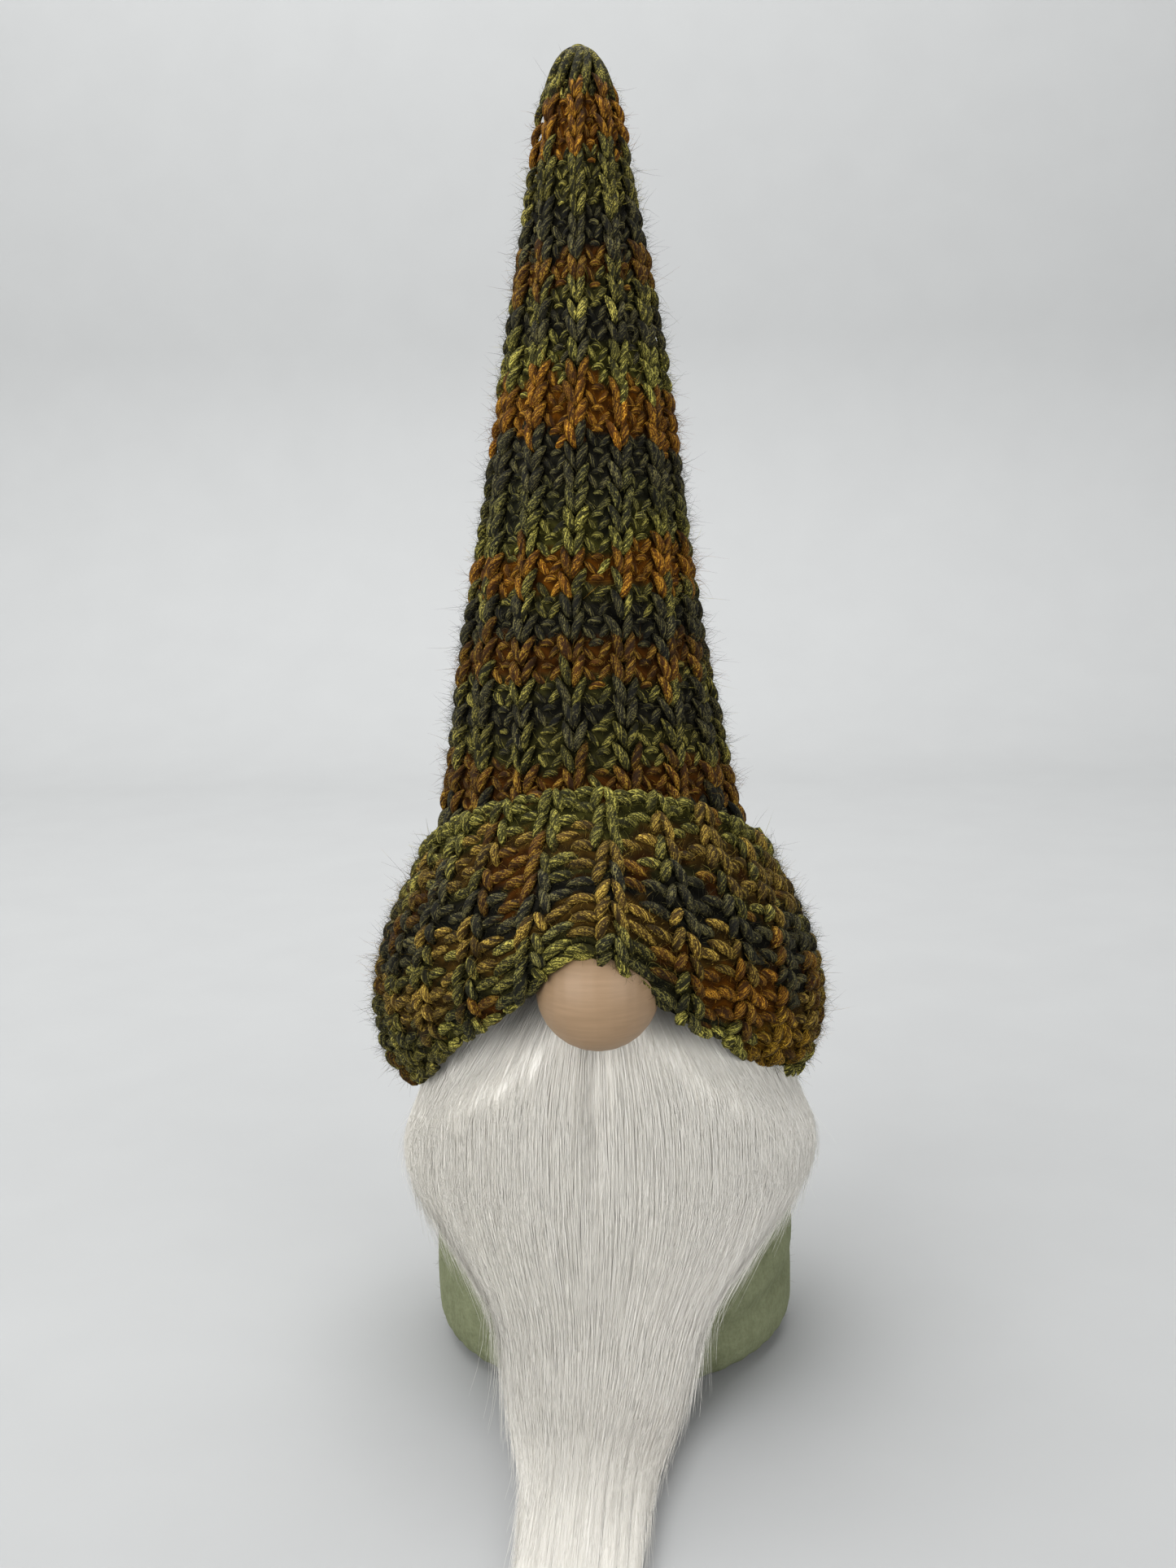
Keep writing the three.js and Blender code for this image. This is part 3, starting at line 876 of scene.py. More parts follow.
    def neck_tie(self) -> Piece:
        """The tie: two plies twisted round each other, wound twice round the neck."""
        low, high = node_box("neck_tie")
        middle = (low + high) / 2
        ring = high[0] - 1.2
        turn = np.linspace(0, 4 * np.pi, 220)
        ply = np.array([0, np.pi])[:, None] + 30 * turn
        rise = np.linspace(-0.55, 0.55, len(turn))
        line = round_z(ring + 0.38 * np.cos(ply), turn, middle[2] + rise + 0.38 * np.sin(ply))
        out = round_z(np.ones_like(ply), turn, 0 * ply)
        radii = np.full(ply.shape, 0.42)
        piece = make_piece("neck_tie_cord", strands(line, radii, out, 6, 0.2), THREAD)
        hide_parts("neck_tie")
        return piece

    def build(self) -> list[Piece]:
        """Makes the body's pieces and dresses the nodes that show as they are."""
        fibres = {
            "base_stiffener": CARD,
            "base_seam_thread": THREAD,
            "pellet_bag": MUSLIN,
            "body_fibrefill": WADDING,
            "beard_glue": GLUE,
            "nose_glue": GLUE,
            "beard_backing": BACKING,
            "beard_backing_flap": BACKING,
        }
        for name, finish in fibres.items():
            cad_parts[name].data.materials.clear()
            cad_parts[name].data.materials.append(finish.make())
        made = [self.sleeve(), self.base(), self.neck_tie(), self.nap()]
        for piece, slot in zip(made, ("sage_fleece", "sage_fleece", "sewing_thread", "sage_fleece")):
            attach(piece, "root")
        return made


@dataclass
class Nose:
    """The turned and sanded wooden ball.

    Attributes:
        turned_marks: height in millimetres of the low ridges that sanding leaves.
    """

    turned_marks: float = 0.04

    def build(self) -> Piece:
        """The ball: rings about X whose radius is the sphere's, with faint turning ridges."""
        low, high = node_box("nose_bead")
        centre = (low + high) / 2
        radius = (high[0] - low[0]) / 2
        swing = np.linspace(-np.pi / 2, np.pi / 2, 73)[:, None]
        turn = np.linspace(0, 2 * np.pi, 112, endpoint=False)[None]
        size = radius + self.turned_marks * (np.cos(26 * swing) * np.cos(swing) - 1)
        x = size * np.sin(swing) + 0 * turn
        y = -size * np.cos(swing) * np.sin(turn)
        z = size * np.cos(swing) * np.cos(turn)
        points = centre + np.stack(np.broadcast_arrays(x, y, z), -1)
        piece = make_piece("wooden_nose", grid(points, False, True), BEECH, weld=True)
        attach(piece, "root")
        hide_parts("nose_bead")
        return piece


# ------------------------------------------------------------------ hat
CUFF_FOLD = 68.0  # height of the folded edge at the sides and the back
CUFF_EDGE = 135.5  # height of the upper edge at the sides
CUFF_FRONT = ((56.0, 44.0), (13.0, 14.0))  # (degrees wide, millimetres high) of its arch


def cuff_low(turn: Array) -> Array:
    """Height of the cuff's folded edge, with two bells over the nose."""
    across = np.degrees(turn)
    return CUFF_FOLD + sum(tall * bell(across, wide) for wide, tall in CUFF_FRONT)


def cuff_high(turn: Array) -> Array:
    """Height of the cuff's upper edge: highest at the front, and near level from the sides back."""
    front = np.cos(turn)
    return CUFF_EDGE + np.where(front > 0, 23 * np.abs(front) ** 1.3, -1.0 * np.abs(front))


@dataclass
class Hat:
    """The knitted hat: a tall crown that leans back, and a cuff turned up wrong side out.

    Attributes:
        pivot: height where the crown's axis leaves the body's.
        lean: how far back it leans, in degrees.
        foot: crown radius at the pivot.
        taper: radius lost for each millimetre up.
        top: height of the tip on the crown's axis.
        row: height of one row of knitting.
        first_row: where the crown's rows start, under the cuff.
        bow: (height on its axis, how far the crown stands to one side).
        aside: how far the cuff stands to that side.
        wales: (height, distance between wales) of the rib.
        front_wale: how far the front rib stands from the front, in degrees.
        columns: ribs round the cuff.
        cuff_outside, cuff_inside: (share of the cuff's height, radius) of its two faces.
        crown_dyes: (height on the axis where the band ends, its dye), rising.
        cuff_dyes: (rows down from the upper edge where the band ends, its dye).
        crown_mohair, cuff_mohair: the long loose fibres of each part.
        nap: the short loose fibres, in each of two layers on each part.
        soft_length: not used; half the length of crown that would bend at the tip's hinge.
    """

    pivot: float = 125.0
    lean: float = 10.0
    foot: float = 43.8
    taper: float = 0.1594
    top: float = 224.0
    row: float = 5.5
    first_row: float = 11.5
    wales: Rows = ((0, 14.6), (30, 14.1), (100, 12.5), (146, 10.7), (205, 8.4), (224, 7.6))
    bow: Rows = ((0, -2.6), (40, -4.2), (66, -4.9), (90, -4.2), (120, -3.4), (224, -3.4))
    aside: float = -2.5
    front_wale: float = -2.7
    columns: int = 22
    cuff_outside: Rows = (
        (0, 52), (0.08, 56), (0.2, 58.8), (0.36, 60), (0.52, 58.8),
        (0.66, 56.1), (0.78, 52.7), (0.9, 48.5), (1, 45.8),
    )
    cuff_inside: Rows = (
        (0, 51.5), (0.2, 52.8), (0.4, 53), (0.6, 51.4), (0.78, 46.8), (0.9, 43.6), (1, 42),
    )
    crown_dyes: Sequence[tuple[float, Dye]] = (
        (24, Dye.CHARCOAL), (34, Dye.RUST), (42, Dye.OLIVE), (50, Dye.CHARCOAL),
        (55, Dye.OLIVE), (64, Dye.RUST), (74, Dye.CHARCOAL), (78, Dye.OLIVE),
        (89, Dye.ORANGE), (96, Dye.LIME), (107, Dye.FOREST), (118, Dye.CHARCOAL),
        (132, Dye.ORANGE), (141, Dye.LIME), (150, Dye.CHARCOAL), (158, Dye.OLIVE),
        (167, Dye.RUST), (180, Dye.CHARCOAL), (195, Dye.OLIVE), (209, Dye.ORANGE),
        (240, Dye.OLIVE),
    )
    cuff_dyes: Sequence[tuple[float, Dye]] = (
        (1.6, Dye.LIME), (3.2, Dye.OCHRE), (3.9, Dye.OLIVE), (5.7, Dye.CHARCOAL),
        (7.2, Dye.OCHRE), (8.6, Dye.OLIVE), (10.0, Dye.FOREST), (20.0, Dye.LIME),
    )
    crown_mohair: Fibres = Fibres(5200, 2.5, 4)
    cuff_mohair: Fibres = Fibres(4600, 2.3, 4)
    nap: Fibres = Fibres(8000, 1.6, 3)
    soft_length: float = 24.0

    # -- the crown's surface
    def crown_radius(self, h: Array) -> Array:
        """Outside radius: a taper, a little waisted, rounded off over the last 21 mm."""
        cone = self.foot - self.taper * h - 1.3 * bell(h - 84, 34) - bell(h - 34, 24)
        left = np.clip((self.top - h) / 21, 0, 1)
        return cone * np.sqrt(1 - (1 - left) ** 2.1)

    def stand(self, local: Array) -> Array:
        """Puts points given about the crown's own axis on the figure, bowed and leaning."""
        points = self.tilt(local) + (0, 0, self.pivot)
        points[..., 0] += curve(self.bow, local[..., 2])
        return points

    def tilt(self, vectors: Array) -> Array:
        """Turns points or directions from the crown's own axis to the upright frame."""
        angle = math.radians(self.lean)
        x, y, z = np.moveaxis(vectors, -1, 0)
        back = y * math.cos(angle) + z * math.sin(angle)
        up = z * math.cos(angle) - y * math.sin(angle)
        return np.stack([x, back, up], -1)

    def on_crown(self, turn: Array, h: Array, out: Array) -> Array:
        """Points out millimetres off the crown at a turn and a height on its axis."""
        return self.stand(round_z(self.crown_radius(h) + out, turn, h))

    def crown_normal(self, turn: Array, h: Array) -> Array:
        """Outward directions of the crown, which turn upwards over its tip."""
        slope = self.crown_radius(h - 0.5) - self.crown_radius(h + 0.5)
        return self.tilt(unit(round_z(np.ones_like(turn), turn, slope)))

    def crown_tint(self, turn: Array, h: Array) -> Array:
        """The dye on the crown, whose bands end raggedly: the height is shifted by ripples."""
        place = np.stack([np.sin(turn) * 30, np.cos(turn) * 30, h], -1)
        shifted = h + 1.6 * ripple(21, place, 17.0) + 1.2 * ripple(22, place, 60.0)
        return dyed(self.crown_dyes, shifted)

    # -- the cuff's surface
    def on_cuff(self, turn: Array, share: Array, out: Array, rows: Rows | None = None) -> Array:
        """Points of the cuff.

        Args:
            turn: round the hat.
            share: 0 at the folded edge and 1 at the upper edge.
            out: millimetres off the surface.
            rows: the (share, radius) rows of the face, the outside unless given.

        Returns:
            The points: the row's radius, lifted over the nose, leaning back as the crown does.
        """
        low = cuff_low(turn)
        z = low + share * (cuff_high(turn) - low)
        under = np.clip(1 - share, 0, 1.2)
        lift = 18.5 * under**1.7 * bell(np.degrees(turn), 32)
        radius = curve(rows or self.cuff_outside, share) + lift + out
        back = math.tan(math.radians(self.lean)) * np.maximum(0, z - self.pivot)
        return round_z(radius, turn, z) + np.stack([0 * back + self.aside, back, 0 * back], -1)

    def cuff_normal(self, turn: Array, share: Array) -> Array:
        """Outward directions of the cuff, from small steps along its two ways."""
        d = 0.004
        along = self.on_cuff(turn + d, share, 0.0) - self.on_cuff(turn - d, share, 0.0)
        up = self.on_cuff(turn, share + d, 0.0) - self.on_cuff(turn, share - d, 0.0)
        return unit(np.cross(along, up))

    def cuff_rows(self, turn: Array) -> Array:
        """Rows of knitting between the cuff's edges: 9.5 at the front, 12.7 at the back."""
        return 9.5 + 3.2 * (1 - bell(np.degrees(turn), 45))

    def cuff_tint(self, turn: Array, row: Array) -> Array:
        """The dye on the cuff by rows from its upper edge, with the patches of each side."""
        across = np.degrees(turn)
        place = np.stack([np.sin(turn) * 55, np.cos(turn) * 55, row * 4.4], -1)
        noise = ripple(31, place, 16.0)
        tint = dyed(self.cuff_dyes, row + 0.55 * noise + 0.3 * ripple(32, place, 50.0))
        patches = (
            (Dye.ORANGE, 38, 8.4, 20, 1.9),
            (Dye.OCHRE, 74, 9.4, 22, 2.0),
            (Dye.GOLD, 58, 10.6, 16, 1.6),
            (Dye.CHARCOAL, 62, 6.2, 20, 2.4),
            (Dye.RUST, -20, 3.0, 9, 0.9),
            (Dye.OCHRE, -48, 8.8, 22, 1.5),
            (Dye.CHARCOAL, -62, 5.6, 16, 1.3),
            (Dye.OLIVE, -60, 11.4, 24, 1.2),
            (Dye.RUST, 140, 5.0, 26, 1.5),
            (Dye.RUST, -150, 9.0, 30, 1.6),
        )
        for dye, at, at_row, wide, tall in patches:
            inside = bell(across - at, wide) * bell(row - at_row, tall) + 0.1 * noise > 0.5
            tint = np.where(inside[..., None], dye.tint, tint)
        rusty = ripple(33, place, 11.0) > 1.45
        return np.where(rusty[..., None], Dye.RUST.tint, tint)

    # -- pieces
    def crown_rows(self) -> Array:
        """Heights of the crown's rows, which draw closer over the tip."""
        count = int((self.top - 12 - self.first_row) / self.row)
        return self.first_row + self.row * np.arange(count + 1)

    def crown_places(self) -> tuple[Array, Array, Array]:
        """Middle of every rib of every row: its distance round from the front, height, spacing."""
        h = self.crown_rows()[:, None]
        number = np.arange(-9, 10)[None]
        pitch = curve(self.wales, h)
        front = math.radians(self.front_wale) * self.crown_radius(h)
        around = number * pitch + front
        keep = np.abs(number * pitch) < np.pi * self.crown_radius(h) - 0.25 * pitch
        h, pitch, _ = np.broadcast_arrays(h, pitch, number)
        return around[keep], h[keep], pitch[keep]

    def work(self, fabric: Fabric, stitch: Stitch, around: Array, h: Array, pitch: Array) -> None:
        """Works one stitch at many places of the crown.

        Args:
            fabric: collects the strands.
            stitch: the loop.
            around: distance round from the front at each place.
            h: height on the crown's axis.
            pitch: distance between the ribs there, which scales the loop's width.
        """
        line, girth = fabric.lay(stitch, len(around), pitch / 13.0)
        height = h[:, None] + line[..., 1]
        radius = np.maximum(self.crown_radius(h)[:, None], 1.0)
        turn = (around[:, None] + line[..., 0]) / radius
        small = step(pitch, 6, 12)[:, None] * 0.3 + 0.7
        stray = np.random.default_rng(fabric.seed).normal(0, 1.7, len(h))
        tint = uneven(self.crown_tint(turn[:, 3], h + stitch.bend[1] + stray), fabric.seed, 0.24)
        paths = self.on_crown(turn, height, line[..., 2] - 0.9)
        fabric.add(paths, girth * small, self.crown_normal(turn, height), tint)

    def crown_knit(self) -> Piece:
        """The crown's stitches: ribs of V stitches, and the slanting purls between them."""
        fabric = Fabric(seed=100)
        around, h, pitch = self.crown_places()
        vee = Stitch((0.3, -2.0, -0.4), (1.2, 1.8, 2.5), (2.9, 5.7, -0.6), 1.3)
        slant = Stitch((4.1, 2.2, -2.1), (2.4, 0.6, 0.2), (0.1, -2.3, -2.1), 1.05)
        bump = Stitch((-2.3, -0.8, -2.1), (0.2, 1.5, 0.2), (2.3, -0.3, -2.1), 0.98)
        for leg in (vee, vee.mirrored()):
            self.work(fabric, leg, around, h, pitch)
        for leg in (slant, slant.mirrored()):
            self.work(fabric, leg, around + pitch / 2, h + 0.6, pitch)
        self.work(fabric, bump, around + pitch / 2, h + 3.0, pitch)
        self.back_seam(fabric)
        self.close_tip(fabric)
        return make_piece("hat_crown_knitting", fabric.skin(), YARN)

    def back_seam(self, fabric: Fabric) -> None:
        """Works the mattress stitches of the back seam, one for each row."""
        h = self.crown_rows() + 2.0
        half = np.pi * self.crown_radius(h)
        pitch = np.full(len(h), 12.0)
        rung = Stitch((-3.4, 0.8, -1.6), (0, -0.9, 0.8), (3.4, 0.8, -1.6), 1.2)
        self.work(fabric, rung, half, h, pitch)
        self.work(fabric, rung, half, h + self.row / 2, pitch)

    def close_tip(self, fabric: Fabric) -> None:
        """Draws the last stitches over the tip: loops that run from the last row to its middle."""
        count = 11
        turn = 2 * np.pi * np.arange(count)[:, None] / count + 0.3
        turn = turn + np.random.default_rng(8).normal(0, 0.08, turn.shape)
        t = np.linspace(0, 1, 7)[None]
        h = self.top - 15 + 14.2 * np.sin(t * np.pi / 2) ** 0.8
        swirl = turn + 0.6 * t
        paths = self.on_crown(swirl, h + 0 * turn, -0.6 + 0.5 * np.sin(np.pi * t))
        radii = 1.5 * (0.5 + 0.5 * np.sin(np.pi * t) ** 0.6) + 0 * turn
        tint = uneven(self.crown_tint(turn[:, 0], np.full(count, self.top)), 9, 0.25)
        fabric.add(paths, radii, self.crown_normal(swirl, h + 0 * turn), tint)

    def crown_ground(self) -> Piece:
        """The crown's inner layer: a closed wall of one thickness from its foot to its tip."""
        h = np.concatenate([np.linspace(2, 208, 90), np.linspace(210, self.top - 1.2, 14)])
        outer = np.maximum(self.crown_radius(h) - 1.9, 0.9)
        inner = np.maximum(self.crown_radius(h + 1.6) - 3.5, 0.4)
        radius = np.concatenate([outer, inner[::-1]])
        height = np.concatenate([h, h[::-1] - 1.4 * step(h[::-1], 205, 222)])
        turn = whole_turn(128)
        local = round_z(radius[:, None], turn, height[:, None])
        skin = grid(self.stand(local), True, True)
        turns = np.broadcast_to(turn, local.shape[:2])
        heights = np.broadcast_to(height[:, None], local.shape[:2])
        skin.values["tint"] = self.crown_tint(turns.ravel(), heights.ravel())[:, :4]
        count = [turns.ravel() * 32 / (2 * np.pi), heights.ravel() / self.row, 0 * turns.ravel()]
        skin.values["knit"] = np.stack(count, -1)
        return make_piece("hat_crown_ground", skin, GROUND)

    def work_cuff(self, fabric: Fabric, stitch: Stitch, turn: Array, row: Array, shift: float = 0.0):
        """Works one stitch at many places of the cuff.

        Args:
            fabric: collects the strands.
            stitch: the loop.
            turn: round the hat, of each place's rib.
            row: rows down from the upper edge.
            shift: millimetres across from the rib.
        """
        line, girth = fabric.lay(stitch, len(turn))
        rows = self.cuff_rows(turn)
        tall = (cuff_high(turn) - cuff_low(turn))[:, None]
        share = np.maximum(1 - (row / rows)[:, None] + line[..., 1] / tall, -0.02)
        radius = 57.0
        at = turn[:, None] + (line[..., 0] + shift) / radius
        stray = np.random.default_rng(fabric.seed).normal(0, 0.35, len(row))
        tint = uneven(self.cuff_tint(at[:, 3], row + stray), fabric.seed, 0.24)
        paths = self.on_cuff(at, share, line[..., 2] - 0.5)
        fabric.add(paths, girth, self.cuff_normal(at, np.clip(share, 0.03, 1)), tint)

    def cuff_places(self, first: float, last: float) -> tuple[Array, Array]:
        """Turn and row of every stitch of the cuff's ribs.

        Args:
            first: the first row, counted down from the upper edge.
            last: how far past the folded edge the rows go, in rows.

        Returns:
            Turns and rows, one of each for each stitch.
        """
        rib = math.radians(5.5) + 2 * np.pi * np.arange(self.columns)[:, None] / self.columns
        rib = (rib + np.pi) % (2 * np.pi) - np.pi
        row = first + np.arange(16)[None]
        keep = row < self.cuff_rows(rib) + last
        return np.broadcast_to(rib, keep.shape)[keep], np.broadcast_to(row, keep.shape)[keep]

    def cuff_knit(self) -> Piece:
        """The cuff's stitches: rope-like ribs, with two overlapping purl bars between them."""
        fabric = Fabric(seed=200)
        turn, row = self.cuff_places(0.3, 0.2)
        leg = Stitch((2.9, -2.7, -1.0), (2.3, 1.0, 2.2), (0.5, 3.0, -0.8), 1.45)
        bar = Stitch((-3.6, -0.5, -1.6), (0, 1.3, 1.0), (3.6, -0.3, -1.6), 1.38)
        for stitch in (leg, leg.mirrored()):
            self.work_cuff(fabric, stitch, turn, row)
        self.work_cuff(fabric, bar, turn, row + 0.1, 5.3)
        self.work_cuff(fabric, bar.mirrored(), turn, row - 0.35, 10.6)
        self.cast_on(fabric)
        return make_piece("hat_cuff_knitting", fabric.skin(), YARN)

    def cast_on(self, fabric: Fabric) -> None:
        """Works the cast-on edge along the cuff's top, and the tucked loops under its fold."""
        count = 3 * self.columns
        turn = 2 * np.pi * np.arange(count) / count - np.pi
        arch = Stitch((-3.2, -1.4, -1.6), (0, 2.4, 1.0), (3.2, -1.4, -1.6), 1.3)
        self.work_cuff(fabric, arch, turn, np.full(count, 0.0))
        tuck = Stitch((-2.6, 0.6, -1.8), (0, -0.9, -0.2), (2.6, 0.6, -1.8), 1.4)
        self.work_cuff(fabric, tuck, turn, self.cuff_rows(turn) - 0.1)

    def cuff_ground(self) -> Piece:
        """The cuff's inner layer: a soft band between the outside and inside rows' curves."""
        share = np.linspace(0, 1, 30)
        outer = curve(self.cuff_outside, share) - 1.5
        inner = curve(self.cuff_inside, share[::-1])
        share = np.concatenate([share, share[::-1]])
        radius = np.concatenate([outer, inner])
        turn = whole_turn(200)
        flat = [(0.0, 0.0), (1.0, 0.0)]
        across, up = np.broadcast_arrays(turn[None], share[:, None])
        points = self.on_cuff(across, up, radius[:, None], flat)
        skin = grid(points, True, True)
        row = (1 - up) * self.cuff_rows(across)
        skin.values["tint"] = self.cuff_tint(across, row)[..., :4].reshape(-1, 4)
        count = [across.ravel() * 44 / (2 * np.pi), row.ravel(), 0 * row.ravel()]
        skin.values["knit"] = np.stack(count, -1)
        return make_piece("hat_cuff_ground", skin, GROUND)

    def crown_fuzz(self, name: str, seed: int, fibres: Fibres) -> Piece:
        """Loose fibres over the crown, more of them where its circumference is larger."""
        rng = np.random.default_rng(seed)
        h = self.top - 3 - (self.top - 28) * rng.power(1.55, fibres.count)
        turn = rng.uniform(-np.pi, np.pi, fibres.count)
        roots = self.on_crown(turn, h, rng.uniform(0.2, 1.7, fibres.count))
        skin = fuzz(seed, roots, self.crown_normal(turn, h), fibres, self.crown_tint(turn, h))
        return make_piece(name, skin, YARN)

    def cuff_fuzz(self, name: str, seed: int, fibres: Fibres) -> Piece:
        """Loose fibres over the cuff."""
        rng = np.random.default_rng(seed)
        share = rng.uniform(0, 1, fibres.count)
        turn = rng.uniform(-np.pi, np.pi, fibres.count)
        roots = self.on_cuff(turn, share, rng.uniform(0.4, 1.8, fibres.count))
        normals = self.cuff_normal(turn, np.clip(share, 0.03, 1))
        tint = self.cuff_tint(turn, (1 - share) * self.cuff_rows(turn))
        return make_piece(name, fuzz(seed, roots, normals, fibres, tint), YARN)

    def stuffing(self) -> Piece:
        """The wadding: a lumpy cone that fills the crown."""
        h = np.linspace(47, 213, 60)
        angle = np.linspace(0, np.pi / 2, 8)
        wall = 4.6
        end = self.crown_radius(h[0]) - wall
        rim = np.sin(angle)[:-1] * end
        radius = np.concatenate([rim, self.crown_radius(h) - wall, [0.0]])
        height = np.concatenate([h[0] - 1 + 4 * (1 - np.cos(angle[:-1])) ** 2, h, [214.0]])
        height = np.maximum.accumulate(height)
        turn = whole_turn(72)
        local = round_z(radius[:, None], turn, height[:, None])
        lump = 0.5 * ripple(51, local, 14.0)[..., None] * unit(local * (1, 1, 0))
        skin = grid(self.stand(local + lump - 0.5 * unit(local * (1, 1, 0))), False, True)
        piece = make_piece("hat_stuffing", skin, WADDING, weld=True)
        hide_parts("hat_fibrefill_lower", "hat_fibrefill_upper")
        return piece

    def tip_yarn(self) -> Piece:
        """The closing yarn: one short loop that comes out of the tip and goes back in."""
        low, high = node_box("hat_tip_thread")
        top = (low + high) / 2
        t = np.linspace(0, 1, 15)[None]
        swing = np.pi * t
        line = np.stack([2.2 * np.cos(swing), 0.6 * np.sin(3 * swing), 1.6 * np.sin(swing) - 1.5], -1)
        paths = self.tilt(line) + (self.bow[-1][1], top[1] + 0.4, high[2] - 1.3)
        radii = 1.1 * (0.5 + 0.5 * np.sin(swing) ** 0.5)
        skin = strands(paths, radii, np.broadcast_to((0.0, 0.2, 1.0), paths.shape), 8, 0.05)
        piece = make_piece("hat_tip_yarn", dye_strands(skin, Dye.LIME.tint[None]), YARN)
        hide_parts("hat_tip_thread")
        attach(piece, "hat_tip")
        return piece

    def build(self) -> list[Piece]:
        """Makes the hat's pieces; the cuff's ride on the hat, and the tip's yarn on the tip."""
        ground = self.crown_ground()
        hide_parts("hat_crown_lower", "hat_crown_upper")
        long_crown = self.crown_fuzz("hat_crown_fuzz", 42, self.crown_mohair)
        short_crown = [self.crown_fuzz(f"hat_crown_nap_{n}", 45 + n, self.nap) for n in (1, 2)]
        bending = [self.crown_knit(), ground, long_crown, *short_crown, self.stuffing()]
        band = self.cuff_ground()
        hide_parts("hat_cuff")
        long_cuff = self.cuff_fuzz("hat_cuff_fuzz", 44, self.cuff_mohair)
        short_cuff = [self.cuff_fuzz(f"hat_cuff_nap_{n}", 48 + n, self.nap) for n in (1, 2)]
        riding = [self.cuff_knit(), band, long_cuff, *short_cuff]
        for piece in bending:
            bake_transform(piece)
        for piece in riding:
            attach(piece, "hat")
        return [*bending, *riding, self.tip_yarn()]


